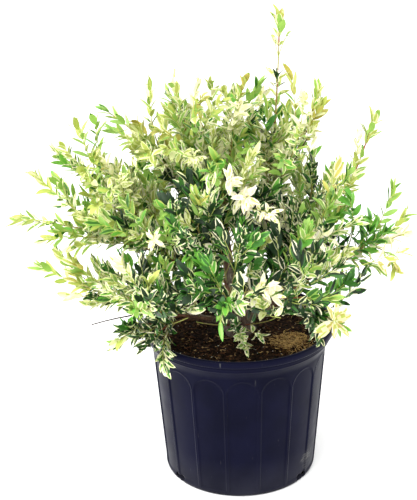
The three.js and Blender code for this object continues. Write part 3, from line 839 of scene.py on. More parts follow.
class Heap:
    """Loose bits of mesh that become one piece: their corners, their faces and the finish of each face."""

    def __init__(self):
        self.corners = []
        self.loops = []
        self.sizes = []
        self.finishes = []
        self.count = 0

    def add(self, corners, *groups):
        """Each group is some faces, all with as many corners, and their one finish or one for each."""
        corners = np.asarray(corners, float).reshape(-1, 3)
        for faces, finish in groups:
            faces = np.asarray(faces)
            self.loops.append((faces + self.count).ravel())
            self.sizes.append(np.full(len(faces), faces.shape[1]))
            self.finishes.append(np.broadcast_to(finish, len(faces)))
        self.corners.append(corners)
        self.count += len(corners)

    def piece(self, name, materials, slot, *nodes):
        """Makes the piece, which replaces those nodes of the solids."""
        corners = np.concatenate(self.corners) * MM
        loops = np.concatenate(self.loops)
        sizes = np.concatenate(self.sizes)
        mesh = bpy.data.meshes.new(name)
        mesh.vertices.add(len(corners))
        mesh.vertices.foreach_set("co", corners.ravel())
        mesh.loops.add(len(loops))
        mesh.loops.foreach_set("vertex_index", loops)
        mesh.polygons.add(len(sizes))
        mesh.polygons.foreach_set("loop_start", np.concatenate([[0], np.cumsum(sizes)[:-1]]))
        mesh.polygons.foreach_set("material_index", np.concatenate(self.finishes))
        mesh.polygons.foreach_set("use_smooth", np.ones(len(sizes), bool))
        for material in materials:
            mesh.materials.append(material)
        mesh.update(calc_edges=True)
        mesh.validate()
        made = put_in_scene(name, mesh)
        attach(made, "root")
        if nodes:
            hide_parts(*nodes)
        return made


def leaf_faces():
    """The faces of one leaf: a fan at the stalk, four columns between stations, and a fan at the tip. The
    outer columns are its margin. Returns triangles, quads, and which of each belong to the margin."""
    rows, columns = len(LEAF_STATIONS), 4
    tip = 1 + rows * (columns + 1)
    at = np.arange(1, tip).reshape(rows, columns + 1)
    fans = [(0, at[0, c], at[0, c + 1]) for c in range(columns)]
    fans += [(tip, at[-1, c + 1], at[-1, c]) for c in range(columns)]
    quads = []
    for near, far in zip(at, at[1:]):
        quads += [(near[c], far[c], far[c + 1], near[c + 1]) for c in range(columns)]
    edge = np.array([True, False, False, True])
    return np.array(fans), np.array(quads), np.tile(edge, 2), np.tile(edge, rows - 1)


def leaf_corners(table, draw):
    """The corners of all leaves at once. Each is folded along its midrib, bent down towards its tip and
    twisted a little. Its inner corners stand unevenly, so that its margin is ragged."""
    count = len(table)
    root, direction, face, length = table[:, 0:3], table[:, 3:6], table[:, 6:9], table[:, 9]
    across = np.cross(direction, face)
    bend = draw.uniform(*LEAF_BENDS, count)
    twist = draw.uniform(*LEAF_TWISTS, count)
    fold = draw.uniform(*LEAF_FOLDS, count)
    half = length * LEAF_SLIMNESS / 2 * draw.uniform(*BREADTH_PLAY, count)
    shares = np.concatenate([[0], LEAF_STATIONS, [1]])
    turn = bend[:, None] * shares
    forward = length[:, None] * np.sin(turn) / bend[:, None]
    drop = length[:, None] * (1 - np.cos(turn)) / bend[:, None]
    ribs = root[:, None] + forward[..., None] * direction[:, None] - drop[..., None] * face[:, None]
    faces_up = np.cos(turn)[..., None] * face[:, None] + np.sin(turn)[..., None] * direction[:, None]
    swing = (twist[:, None] * shares)[..., None]
    sideways = np.cos(swing) * across[:, None] + np.sin(swing) * faces_up
    upright = np.cos(swing) * faces_up - np.sin(swing) * across[:, None]
    inner = draw.uniform(*MARGIN_PLACES, (count, len(LEAF_STATIONS), 2))
    edge = np.ones(inner.shape[:2])
    reach = np.stack([-edge, -inner[..., 0], 0 * edge, inner[..., 1], edge], axis=2)
    reach = reach * (half[:, None] * LEAF_BREADTHS)[..., None]
    middle = slice(1, -1)
    corners = (
        ribs[:, middle, None]
        + (reach * np.cos(fold)[:, None, None])[..., None] * sideways[:, middle, None]
        + (np.abs(reach) * np.sin(fold)[:, None, None])[..., None] * upright[:, middle, None]
    )
    return np.concatenate([ribs[:, :1], corners.reshape(count, -1, 3), ribs[:, -1:]], axis=1)


def leaf_finishes(tone, edges, draw):
    """The finish of each face of all leaves, by the leaf's tone and by whether the face is in the margin."""
    finish = np.zeros((len(tone), len(edges)), int)
    for number, (name, zones) in enumerate(TONES.items()):
        rows = np.flatnonzero(tone == number)
        for zone, chances in zip((edges, ~edges), zones):
            columns = np.flatnonzero(zone)
            weights = np.array([chances.get(colour, 0) for colour in LEAF_COLOURS], float)
            patches = (len(rows), 1 if name in CALM_TONES else len(columns))
            finish[np.ix_(rows, columns)] = draw.choice(len(weights), patches, p=weights / weights.sum())
    return finish.ravel()


def heap_leaves(leaves, draw, heap):
    """Adds all the leaves to a heap, finished by their tones."""
    table = np.array(leaves.rows)
    corners = leaf_corners(table, draw)
    tone = table[:, 10].astype(int)
    offsets = (np.arange(len(table)) * corners.shape[1])[:, None, None]
    fans, quads, fan_edges, quad_edges = leaf_faces()
    groups = []
    for faces, edges in ((fans, fan_edges), (quads, quad_edges)):
        groups.append(((faces + offsets).reshape(-1, faces.shape[1]), leaf_finishes(tone, edges, draw)))
    heap.add(corners, *groups)


def rings(path, radii, sides):
    """Circles of corners round a path. radii has one value for each ring, or one for each corner."""
    path = np.asarray(path, float)
    ways = np.gradient(path, axis=0)
    ways /= np.linalg.norm(ways, axis=1)[:, None]
    side = np.cross(ways[0], BACK if abs(ways[0][2]) > 0.9 else UP)
    angles = np.arange(sides) * math.tau / sides
    radii = np.broadcast_to(np.asarray(radii, float).reshape(len(path), -1), (len(path), sides))
    made = []
    for point, way, radius in zip(path, ways, radii):
        side = unit(side - side.dot(way) * way)
        over = np.cross(way, side)
        circle = np.cos(angles)[:, None] * side + np.sin(angles)[:, None] * over
        made.append(point + radius[:, None] * circle)
    return np.array(made)


def grid_faces(rows, columns):
    """Quads between rows of corners that close round."""
    row, column = np.meshgrid(np.arange(rows - 1), np.arange(columns), indexing="ij")
    near, far = row * columns, (row + 1) * columns
    ahead = (column + 1) % columns
    return np.stack([near + column, near + ahead, far + ahead, far + column], axis=-1).reshape(-1, 4)


def fan_faces(centre, first, columns):
    """Triangles from one corner to a ring of them."""
    column = np.arange(columns)
    return np.stack([np.full(columns, centre), first + column, first + (column + 1) % columns], axis=-1)


def heap_skin(heap, circles, start, end, finish=0, order=1):
    """A closed skin: rings of corners, and a fan at each end to a corner of its own. finish is one value,
    or one for each stretch between rings. order is -1 where the rings are listed from the top down."""
    rows, sides = circles.shape[:2]
    corners = np.concatenate([circles.reshape(-1, 3), [start, end]])
    finish = np.broadcast_to(finish, rows - 1)
    side = grid_faces(rows, sides)[:, ::order]
    first = fan_faces(rows * sides, 0, sides)[:, ::-order]
    last = fan_faces(rows * sides + 1, (rows - 1) * sides, sides)[:, ::order]
    heap.add(corners, (side, np.repeat(finish, sides)), (first, finish[0]), (last, finish[-1]))


def heap_tube(heap, path, radii, sides, finish=0):
    """A closed tube round a path."""
    heap_skin(heap, rings(path, radii, sides), path[0], path[-1], finish)


# Finishes.


def linear(colour):
    """An sRGB hex colour as the linear values that a shader takes."""
    shares = [int(colour[i : i + 2], 16) / 255 for i in (1, 3, 5)]
    return [c / 12.92 if c <= 0.04045 else ((c + 0.055) / 1.055) ** 2.4 for c in shares] + [1.0]


def new_finish(name, **sockets):
    """A material with the values of its Principled shader that are the same all over."""
    material = bpy.data.materials.new(name)
    material.use_nodes = True
    shader = material.node_tree.nodes["Principled BSDF"]
    for socket, value in sockets.items():
        shader.inputs[socket.replace("_", " ")].default_value = value
    return material


def add_node(material, kind, inputs=(), take=0, **settings):
    """Adds one node and gives one of its outputs. An input is a value, or the output of another node."""
    made = material.node_tree.nodes.new(kind)
    for name, value in settings.items():
        setattr(made, name, value)
    for socket, value in dict(inputs).items():
        if isinstance(value, bpy.types.NodeSocket):
            material.node_tree.links.new(value, made.inputs[socket])
        else:
            made.inputs[socket].default_value = value
    return made.outputs[take]


def join_to_shader(material, **sockets):
    """Joins outputs to sockets of the material's Principled shader."""
    shader = material.node_tree.nodes["Principled BSDF"]
    for socket, output in sockets.items():
        material.node_tree.links.new(output, shader.inputs[socket.replace("_", " ")])


def shades(material, value, *stops):
    """Colours by a value from 0 to 1. Each stop is a place and an sRGB hex colour."""
    shade = add_node(material, "ShaderNodeValToRGB", {"Fac": value})
    elements = shade.node.color_ramp.elements
    while len(elements) < len(stops):
        elements.new(1)
    for element, (place, colour) in zip(elements, stops):
        element.position = place
        element.color = linear(colour)
    return shade


# The pale rubbed patch low on the pot's front right, scuffed and with the grey sheen there painted in:
# azimuth, distance out and height, how far it reaches, and how far its ragged edge strays.
RUB_SHEEN_PLACE = (331, 116, 32)
RUB_SHEEN_REACH = 18
RUB_SHEEN_PLAY = 9


def rub_and_sheen_patch(made, place, scuffed):
    """How pale the rubbed patch, its scuffs and painted sheen in one, is at each place: level flecks that thin
    out towards a ragged edge.
    """
    centre = tuple(MM * c for c in polar(*RUB_SHEEN_PLACE))
    away = add_node(made, "ShaderNodeVectorMath", {0: place, 1: centre}, "Value", operation="DISTANCE")
    strays = {"From Min": 0.3, "From Max": 0.7, "To Min": -RUB_SHEEN_PLAY * MM, "To Max": RUB_SHEEN_PLAY * MM}
    ragged = add_node(made, "ShaderNodeMapRange", {"Value": scuffed, **strays})
    reach = add_node(made, "ShaderNodeMath", {0: away, 1: ragged}, operation="ADD")
    rub_and_sheen = add_node(made, "ShaderNodeMapRange", {"Value": reach, "From Min": RUB_SHEEN_REACH * MM, "From Max": 0})
    level = add_node(made, "ShaderNodeMapping", {"Vector": place, "Scale": (0.4, 0.4, 1.6)})
    fleck = add_node(made, "ShaderNodeTexNoise", {"Vector": level, "Scale": 1 / (3.5 * MM), "Detail": 5})
    limits = {"From Min": 0.42, "From Max": 0.75, "To Max": 0.55}
    flecked = add_node(made, "ShaderNodeMapRange", {"Value": fleck, **limits})
    return add_node(made, "ShaderNodeMath", {0: rub_and_sheen, 1: flecked}, operation="MULTIPLY")


def blow_moulded_polyethylene():
    """Blow-moulded black polyethylene: near black with a blue cast, a soft sheen, faint scuffs, dust, and a
    rubbed patch with a painted sheen.
    """
    sheen = dict(Sheen_Weight=0.08, Sheen_Roughness=0.35)
    made = new_finish("blow_moulded_polyethylene", IOR=1.51, Specular_IOR_Level=0.03, **sheen)
    place = add_node(made, "ShaderNodeTexCoord", take="Object")
    cloud = add_node(made, "ShaderNodeTexNoise", {"Vector": place, "Scale": 1 / (55 * MM), "Detail": 3})
    base = shades(made, cloud, (0.35, "#08091a"), (0.65, "#0c0d21"))
    # Upright scratches where the pot was scuffed, drawn broader than life so that they show.
    upright = add_node(made, "ShaderNodeMapping", {"Vector": place, "Scale": (1, 1, 0.12)})
    scratch = add_node(made, "ShaderNodeTexNoise", {"Vector": upright, "Scale": 1 / (2.6 * MM), "Detail": 2})
    streak = add_node(made, "ShaderNodeMapRange", {"Value": scratch, "From Min": 0.68, "From Max": 0.8})
    scuffed = add_node(made, "ShaderNodeTexNoise", {"Vector": place, "Scale": 1 / (24 * MM), "Detail": 2})
    patch = add_node(made, "ShaderNodeMapRange", {"Value": scuffed, "From Min": 0.55, "From Max": 0.75})
    worn = add_node(made, "ShaderNodeMath", {0: streak, 1: patch}, operation="MULTIPLY")
    wear = add_node(made, "ShaderNodeMath", {0: worn, 1: 0.3}, operation="MULTIPLY")
    # Dust that thickens towards the floor, and the rubbed patch, whose pale flecks are partly a painted sheen.
    height = add_node(made, "ShaderNodeSeparateXYZ", {"Vector": place}, "Z")
    near_floor = {"From Min": 60 * MM, "From Max": 0, "To Max": 0.08}
    low = add_node(made, "ShaderNodeMapRange", {"Value": height, **near_floor})
    dusty = add_node(made, "ShaderNodeMath", {0: low, 1: cloud}, operation="MULTIPLY")
    rub_and_sheen = rub_and_sheen_patch(made, place, scuffed)
    dust_and_sheen = add_node(made, "ShaderNodeMath", {0: rub_and_sheen, 1: dusty}, operation="ADD")
    pale = add_node(made, "ShaderNodeMath", {0: wear, 1: dust_and_sheen}, operation="ADD")
    mixed = {"Factor": pale, "A": base, "B": linear("#8b8a84")}
    colour = add_node(made, "ShaderNodeMix", mixed, "Result", data_type="RGBA")
    limits = {"From Min": 0.3, "From Max": 0.7, "To Min": 0.34, "To Max": 0.48}
    rough = add_node(made, "ShaderNodeMapRange", {"Value": scuffed, **limits})
    # Moulding grain, drawn coarser than life so that it shows.
    grain = add_node(made, "ShaderNodeTexNoise", {"Vector": place, "Scale": 1 / (1.4 * MM), "Detail": 3})
    bump = add_node(made, "ShaderNodeBump", {"Height": grain, "Strength": 0.12, "Distance": 0.3 * MM})
    join_to_shader(made, Base_Color=colour, Roughness=rough, Normal=bump)
    return made


# The golden, fibrous patch on the potting mix: its place across and back, and how far it reaches.
PATCH_PLACE = (74, -46)
PATCH_REACH = 34


def peat_and_bark_mix():
    """Moist peat and composted bark: near black in the hollows, a painted shade darker than the peat itself,
    brown crumbs, and one dry golden patch.
    """
    made = new_finish("peat_and_bark_mix", Roughness=0.92, Specular_IOR_Level=0.06)
    place = add_node(made, "ShaderNodeTexCoord", take="Object")
    crumb = add_node(made, "ShaderNodeTexNoise", {"Vector": place, "Scale": 1 / (5 * MM), "Detail": 6})
    # The crumbs' low places, which the bump sinks into hollows, take the darkest colour: dark moist peat with
    # painted shade over it.
    base = shades(made, crumb, (0.34, "#0b0705"), (0.5, "#1c120b"), (0.62, "#38251a"), (0.76, "#6b4c2e"))
    centre = (PATCH_PLACE[0] * MM, PATCH_PLACE[1] * MM, SOIL_TOP * MM)
    away = add_node(made, "ShaderNodeVectorMath", {0: place, 1: centre}, "Value", operation="DISTANCE")
    ends = {"From Min": PATCH_REACH * MM, "From Max": 0.4 * PATCH_REACH * MM}
    near = add_node(made, "ShaderNodeMapRange", {"Value": away, **ends})
    crest = add_node(made, "ShaderNodeMapRange", {"Value": crumb, "From Min": 0.42, "From Max": 0.66})
    dry = add_node(made, "ShaderNodeMath", {0: near, 1: crest}, operation="MULTIPLY")
    mixed = {"Factor": dry, "A": base, "B": linear("#9a6c33")}
    colour = add_node(made, "ShaderNodeMix", mixed, "Result", data_type="RGBA")
    bump = add_node(made, "ShaderNodeBump", {"Height": crumb, "Strength": 0.8, "Distance": 2 * MM})
    join_to_shader(made, Base_Color=colour, Normal=bump)
    return made


def willow_bark(name, dark, light, fissure):
    """Bark: streaks that run up the limb, over a fine grain. Old bark is greyer, with deeper fissures."""
    made = new_finish(name, Roughness=0.78, Specular_IOR_Level=0.35)
    place = add_node(made, "ShaderNodeTexCoord", take="Object")
    upright = add_node(made, "ShaderNodeMapping", {"Vector": place, "Scale": (1, 1, 0.2)})
    streak = add_node(made, "ShaderNodeTexNoise", {"Vector": upright, "Scale": 1 / (2.2 * MM), "Detail": 5})
    mottle = add_node(made, "ShaderNodeTexNoise", {"Vector": place, "Scale": 1 / (14 * MM), "Detail": 2})
    mixed = add_node(made, "ShaderNodeMath", {0: streak, 1: mottle}, operation="ADD")
    share = add_node(made, "ShaderNodeMath", {0: mixed, 1: 0.5}, operation="MULTIPLY")
    colour = shades(made, share, (0.36, dark), (0.62, light))
    bump = add_node(made, "ShaderNodeBump", {"Height": streak, "Strength": fissure, "Distance": 0.8 * MM})
    join_to_shader(made, Base_Color=colour, Normal=bump)
    return made


def plain_finish(name, colour, roughness, specular=0.4):
    """A finish that is the same all over."""
    return new_finish(name, Base_Color=linear(colour), Roughness=roughness, Specular_IOR_Level=specular)


POT_FINISH = blow_moulded_polyethylene()
SOIL_FINISH = peat_and_bark_mix()
OLD_BARK = willow_bark("old_willow_bark", "#352c22", "#877a68", 0.9)
CROWN_BARK = willow_bark("buried_willow_bark", "#1f1611", "#57473a", 1.0)
YOUNG_BARK = willow_bark("young_willow_bark", "#3f2c20", "#7a5942", 0.5)
# Leaf blades: a thin waxy skin, so a soft wide highlight. One plain finish for each colour of the dapple.
LEAF_FINISHES = [plain_finish("willow_leaf_" + name, colour, 0.5) for name, colour in LEAF_COLOURS.items()]
# Young shoots: smooth skin that goes from red-brown at the base to green at the tip.
SHOOT_FINISHES = [
    plain_finish("willow_shoot_" + name, colour, 0.55)
    for name, colour in dict(brown="#6b4630", red="#8f5236", olive="#98904c", green="#b3bd5e").items()
]
DEAD_TWIG = plain_finish("dead_willow_twig", "#3b2d27", 0.7, 0.2)
LITTER_FINISHES = [
    plain_finish("litter_" + name, colour, 0.9, 0.06)
    for name, colour in dict(
        peat="#0b0604", bark="#24160e", brown="#4c3220", straw="#957c56", gold="#cba76a", perlite="#dcd8cc"
    ).items()
]


# Pot.


def pot_radius(z):
    """How far out the pot's plain wall stands at a height."""
    return FOOT_RADIUS + POT_TAPER * z


def flute_half(z):
    """Half the width of a flute."""
    return (math.tau * pot_radius(z) / FLUTES - FLUTE_RIB) / 2


def flute_recess(across, z):
    """How far the wall is pressed in, at a distance across from the nearest flute's middle. Less than nothing
    is the bead round it."""
    top_half = flute_half(FLUTE_TOP)
    spring = FLUTE_TOP - top_half
    half = flute_half(np.minimum(z, spring))
    straight = half - np.abs(across)
    arched = top_half - np.hypot(across, z - spring)
    inside = np.minimum(np.where(z < spring, straight, arched), z - FLUTE_FOOT)
    bead = BEAD_HEIGHT * np.exp(-(((inside + BEAD_WIDTH) / BEAD_WIDTH) ** 2))
    return FLUTE_DEPTH * eased(np.clip(inside / FLUTE_STEP, 0, 1)) - bead


def pot_profile():
    """Radius and height of each row of the pot, from the middle of its underside round to the middle of
    its floor. Only the rows of the outer wall are fluted."""
    neck = pot_radius(COLLAR_FOOT) + COLLAR_FLARE
    foot = [(radius, 0) for radius in (20, 60, 95, FOOT_RADIUS - FOOT_ROUND)]
    for turn in np.radians([25, 50, 75]):
        radius = FOOT_RADIUS - FOOT_ROUND + 4.2 * math.sin(turn)
        foot.append((radius, FOOT_ROUND * (1 - math.cos(turn))))
    low = np.concatenate([[5, 6, 7, 8, 9, 10.5, 13], np.arange(20, 160, 10)])
    wall = [(pot_radius(z), z) for z in np.concatenate([low, np.arange(160, COLLAR_FOOT, 1.5)])]
    collar = []
    for share in np.linspace(0, 1, 28):
        z = COLLAR_FOOT + (LIP_FOOT - 2 - COLLAR_FOOT) * share
        bead = COLLAR_BEAD * math.exp(-(((z - COLLAR_BEAD_AT) / 1.1) ** 2))
        collar.append((pot_radius(COLLAR_FOOT) + COLLAR_FLARE * eased(share) + bead, z))
    groove = [(neck - 0.4, LIP_FOOT - 1.2), (neck + 0.2, LIP_FOOT - 0.4), (neck + 2.4, LIP_FOOT)]
    lip = [
        (LIP_RADIUS - 0.9, LIP_FOOT + 0.5),
        (LIP_RADIUS, LIP_FOOT + 1.8),
        (LIP_RADIUS + 0.2, LIP_FOOT + 5),
        (LIP_RADIUS - 0.1, POT_HEIGHT - 2.2),
        (LIP_RADIUS - 0.9, POT_HEIGHT - 0.8),
        (LIP_RADIUS - 2.2, POT_HEIGHT),
        (LIP_RADIUS - 5, POT_HEIGHT - 0.1),
        (LIP_RADIUS - 6.4, POT_HEIGHT - 1),
        (LIP_RADIUS - 7, POT_HEIGHT - 3),
    ]
    inner = [(neck - POT_WALL, LIP_FOOT - 4), (neck - POT_WALL - 2, 212)]
    inner.append((pot_radius(COLLAR_FOOT) - POT_WALL, COLLAR_FOOT - 2))
    inner += [(pot_radius(z) - POT_WALL, z) for z in (150, 100, 50, 8, POT_FLOOR)]
    floor = [(90, POT_FLOOR), (50, POT_FLOOR), (15, POT_FLOOR)]
    above = collar + groove + lip + inner + floor
    fluted = [False] * len(foot) + [True] * len(wall) + [False] * len(above)
    return np.array(foot + wall + above, float), np.array(fluted)


def pot_columns():
    """Azimuths of the pot's columns, close together at the edges of the flutes."""
    half = np.concatenate([np.arange(0, 0.41, 0.045), [0.425, 0.44, 0.45, 0.458, 0.466, 0.474, 0.484]])
    shares = np.concatenate([-half[:0:-1], half, [0.5]])
    turns = np.concatenate([(i + shares) * math.tau / FLUTES for i in range(FLUTES)])
    return turns + math.radians(FLUTE_PHASE)


def make_pot():
    """The pot is turned from its profile, with the flutes pressed into its outer wall."""
    profile, fluted = pot_profile()
    columns = pot_columns()
    radius = np.repeat(profile[:, :1], len(columns), axis=1)
    height = np.repeat(profile[:, 1:], len(columns), axis=1)
    half_pitch = math.pi / FLUTES
    from_middle = (columns - math.radians(FLUTE_PHASE) + half_pitch) % (2 * half_pitch) - half_pitch
    recess = flute_recess(radius * from_middle, height)
    radius = radius - np.where(fluted[:, None], recess, 0)
    circles = np.stack([radius * np.cos(columns), radius * np.sin(columns), height], axis=-1)
    heap = Heap()
    heap_skin(heap, circles, (0, 0, 0), (0, 0, POT_FLOOR))
    cut_drain_holes(heap.piece("fluted_pot", [POT_FINISH], "pot", "pot"))


def cut_drain_holes(pot):
    """Each drain hole is two round bores side by side through the wall at its foot."""
    cutters = Heap()
    for azimuth in DRAIN_AZIMUTHS:
        for side in (-DRAIN_SPREAD, DRAIN_SPREAD):
            turn = azimuth + math.degrees(side / FOOT_RADIUS)
            ends = (FOOT_RADIUS - DRAIN_DEPTH, FOOT_RADIUS + DRAIN_DEPTH)
            path = np.array([polar(turn, out, DRAIN_HEIGHT) for out in ends])
            heap_tube(cutters, path, [DRAIN_RADIUS, DRAIN_RADIUS], 20)
    cutter = cutters.piece("drain_cutter", [POT_FINISH], "pot")
    cut = pot.modifiers.new("drain_holes", "BOOLEAN")
    cut.operation = "DIFFERENCE"
    cut.solver = "EXACT"
    cut.use_self = True
    cut.object = cutter
    depsgraph = bpy.context.evaluated_depsgraph_get()
    holed = bpy.data.meshes.new_from_object(pot.evaluated_get(depsgraph))
    pot.modifiers.clear()
    pot.data = holed
    bpy.data.objects.remove(cutter)


# Potting mix.


def soil_height(x, y):
    """The lumpy top of the mix: level under the plant, and a little higher where the golden patch lies."""
    out = math.hypot(x, y)
    rough = between(out, SOIL_PAD, SOIL_PAD + 12)
    lump = 2.4 * noise.noise(Vector((x / 24, y / 24, 3))) + 1.7 * noise.noise(Vector((x / 7, y / 7, 8)))
    crumb = 0.9 * noise.noise(Vector((x / 2.6, y / 2.6, 5)))
    away = math.hypot(x - PATCH_PLACE[0], y - PATCH_PLACE[1]) / PATCH_REACH
    mound = 3.5 * max(0, 1 - away * away)
    sunk = 3.5 * max(0, (out - SOIL_EDGE) / (SOIL_RADIUS - SOIL_EDGE))
    return SOIL_TOP + rough * (lump + crumb + mound) - sunk


def make_soil():
    """The mix fills the pot from floor to just below the lip, clear of the wall and of the drain holes."""
    around = 200
    gap = 0.4
    azimuths = [360 * k / around for k in range(around)]
    hollow = DRAIN_DEPTH - POT_WALL
    circles = []
    for out in np.concatenate([np.arange(2, SOIL_EDGE, 2.2), np.linspace(SOIL_EDGE + 1, SOIL_RADIUS, 9)]):
        spots = [polar(azimuth, out, 0)[:2] for azimuth in azimuths]
        circles.append([(x, y, soil_height(x, y)) for x, y in spots])
    # Below the top, each ring is level, as far out as the wall at a height, less how far it draws in.
    below = [(COLLAR_FOOT - 3, COLLAR_FOOT, 0), (24, 24, 0), (16, 16, hollow), (POT_FLOOR + gap, 4, hollow)]
    for level, wall_height, drawn_in in below:
        out = pot_radius(wall_height) - POT_WALL - gap - drawn_in
        circles.append([polar(azimuth, out, level) for azimuth in azimuths])
    heap = Heap()
    heap_skin(heap, np.array(circles), (0, 0, SOIL_TOP), (0, 0, POT_FLOOR + gap), order=-1)
    heap.piece("potting_mix_body", [SOIL_FINISH], "potting_mix", "potting_mix")


# A chip's six corners and eight faces.
SHARD = np.array([(1, 0, 0), (0.2, 1, 0.1), (-1, 0.1, 0), (-0.1, -1, 0), (0.1, 0.2, 1), (0, 0, -1)], float)
SHARD_FACES = np.array(
    [(0, 1, 4), (1, 2, 4), (2, 3, 4), (3, 0, 4), (1, 0, 5), (2, 1, 5), (3, 2, 5), (0, 3, 5)]
)


def heap_shard(heap, place, length, draw, finish):
    """A chip of bark or grit: a lopsided eight-faced bit, longer than wide and mostly lying flat."""
    shape = length / 2 * np.array([1, draw.uniform(0.35, 0.8), draw.uniform(0.2, 0.45)])
    turned = Euler((draw.normal(0, 0.35), draw.normal(0, 0.35), draw.uniform(0, math.tau))).to_matrix()
    jitter = draw.uniform(0.75, 1.25, SHARD.shape)
    heap.add((SHARD * jitter * shape) @ np.array(turned).T + place, (SHARD_FACES, finish))


def on_soil(x, y, lift=0.0):
    """A place on the mix, or a little above it."""
    return np.array([x, y, soil_height(x, y) + lift])


def anywhere(draw):
    """A place on the mix, as likely to be in one part of it as in another."""
    x, y, _ = polar(draw.uniform(0, 360), LITTER_REACH * math.sqrt(draw.random()), 0)
    return on_soil(x, y)


def heap_fibre(heap, place, length, draw, finish, lift=0.25):
    """A curled root fibre or shred of bark that lies on the mix."""
    way = polar(draw.uniform(0, 360), 1, draw.uniform(-0.1, lift))
    side = np.cross(way, UP) * draw.normal(0, 0.35) * length
    half = way * length / 2
    path = stretch((place - half, place + side + UP * length * 0.2, place + half), 0, 1, 4)
    path[:, 2] = np.maximum(path[:, 2], place[2] + 0.2)
    thick = draw.uniform(0.25, 0.55)
    heap_tube(heap, path, [thick, thick * 1.1, thick, thick * 0.9, thick * 0.5], 4, finish)


# How many chips, fibres, golden fibres, pale grains, and grains along the front of the lip lie on the mix.
CHIPS = 2600
FIBRES = 420
PATCH_FIBRES = 620
GRAINS = 70
LIP_GRAINS = 60
LITTER_REACH = SOIL_RADIUS - 4


def make_litter():
    """Chips of bark, fibres and a few pale grains on the mix, and the golden tangle of the dry patch."""
    draw = np.random.default_rng(9)
    heap = Heap()
    peat, bark, brown, straw, gold, perlite = range(len(LITTER_FINISHES))
    for _ in range(CHIPS):
        finish = draw.choice([peat, bark, brown, straw], p=[0.34, 0.36, 0.22, 0.08])
        heap_shard(heap, anywhere(draw), draw.uniform(1.6, 7.5), draw, finish)
    for _ in range(FIBRES):
        finish = draw.choice([peat, bark, brown, straw], p=[0.25, 0.3, 0.27, 0.18])
        heap_fibre(heap, anywhere(draw), draw.uniform(4, 14), draw, finish)
    for _ in range(PATCH_FIBRES):
        x, y = PATCH_PLACE + draw.normal(0, PATCH_REACH * 0.38, 2)
        if math.hypot(x, y) > SOIL_RADIUS - 6:
            continue
        place = on_soil(x, y, draw.uniform(0, 2.5))
        finish = draw.choice([gold, straw, brown], p=[0.5, 0.3, 0.2])
        heap_fibre(heap, place, draw.uniform(4, 13), draw, finish, 0.8)
    for _ in range(GRAINS):
        heap_shard(heap, anywhere(draw) + UP * 0.5, draw.uniform(1.4, 3), draw, perlite)
    for _ in range(LIP_GRAINS):
        x, y, _ = polar(draw.uniform(215, 320), draw.uniform(SOIL_EDGE, LITTER_REACH), 0)
        length = draw.uniform(1.4, 3.4)
        finish = draw.choice([straw, perlite])
        heap_shard(heap, on_soil(x, y, 0.6), length, draw, finish)
    heap.piece("potting_mix_litter", LITTER_FINISHES, "potting_mix")


# Wood.


def bark_radii(path, start, end, sides, swell, grain):
    """The radius of each corner of a limb: an even taper, a swollen root, a ring at each old leaf scar,
    and ridges."""
    run = distances_along(path)
    taper = np.linspace(start, end, len(path))
    root = 1 + swell * np.exp(-run / (2.2 * start))
    scars = 1 + 0.09 * np.exp(-(((run % 21) - 10.5) / 1.3) ** 2)
    radii = (taper * root * scars)[:, None] * np.ones(sides)
    for i, distance in enumerate(run):
        for k in range(sides):
            turn = k * math.tau / sides
            spot = Vector((2.2 * math.cos(turn), 2.2 * math.sin(turn), distance / 16 + path[0][0]))
            radii[i, k] *= 1 + grain * noise.noise(spot * 1.6) + 0.5 * grain * noise.noise(spot * 4.1)
    return radii


def make_crown_of_roots():
    """The knuckle of old wood: a flared foot with root ridges, cut off flat where it stands in the mix."""
    around, rows = 72, 34
    outs = [CROWN_FLARE, CROWN_WAIST + 4, CROWN_WAIST, CROWN_WAIST + 1, CROWN_WAIST * 0.6]
    ups = [0, 6, 15, 24, CROWN_HEIGHT]
    corners = []
    for height in np.linspace(0, CROWN_HEIGHT, rows):
        for turn in np.arange(around) * math.tau / around:
            swell = 1 + 0.1 * math.sin(3 * turn + 0.6) + 0.06 * math.sin(5 * turn)
            spot = Vector((3 * math.cos(turn), 3 * math.sin(turn), height / 14))
            ridge = 1.5 * noise.noise(spot * 1.4) + 0.8 * noise.noise(spot * 4)
            out = np.interp(height, ups, outs) * swell + ridge
            corners.append((out * math.cos(turn), out * math.sin(turn), SOIL_TOP + height))
    circles = np.array(corners).reshape(rows, around, 3)
    heap = Heap()
    heap_skin(heap, circles, (0, 0, SOIL_TOP), (0, 0, SOIL_TOP + CROWN_HEIGHT + 3))
    heap.piece("crown_bark", [CROWN_BARK], "old_bark", "root_crown")


def make_wood():
    """The main stems from the crown to their forks, and the boughs to where they enter their masses."""
    stems, boughs = Heap(), Heap()
    for name in STEMS:
        path = stretch(stem_curve(name), 0, 1, 60)
        heap_tube(stems, path, bark_radii(path, STEM_RADIUS, FORK_RADIUS, 16, 0.5, 0.2), 16)
    for mass in MASSES.values():
        path = stretch(mass_curve(mass), 0, mass.bare, 26)
        heap_tube(boughs, path, bark_radii(path, BOUGH_RADIUS, SPRAY_RADIUS, 12, 0.3, 0.13), 12)
    stems.piece("stem_bark", [OLD_BARK], "young_bark", *["stem_" + name for name in STEMS])
    boughs.piece("bough_bark", [YOUNG_BARK], "young_bark", *["bough_" + name for name in MASSES])


# Twigs and leaves.


def heap_twig(heap, twig):
    """A tapering twig, brown at its base and green at its tip. A thick one is brown for longer."""
    steps = len(twig.path) - 1
    radii = np.linspace(twig.radii[0], twig.radii[1], steps + 1)
    greens = 1 - (radii[:-1] - SHOOT_TIP) / (SPRAY_RADIUS - SHOOT_TIP)
    finish = np.digitize(greens, [0.3, 0.62, 0.85])
    heap_tube(heap, twig.path, radii, 5, finish)


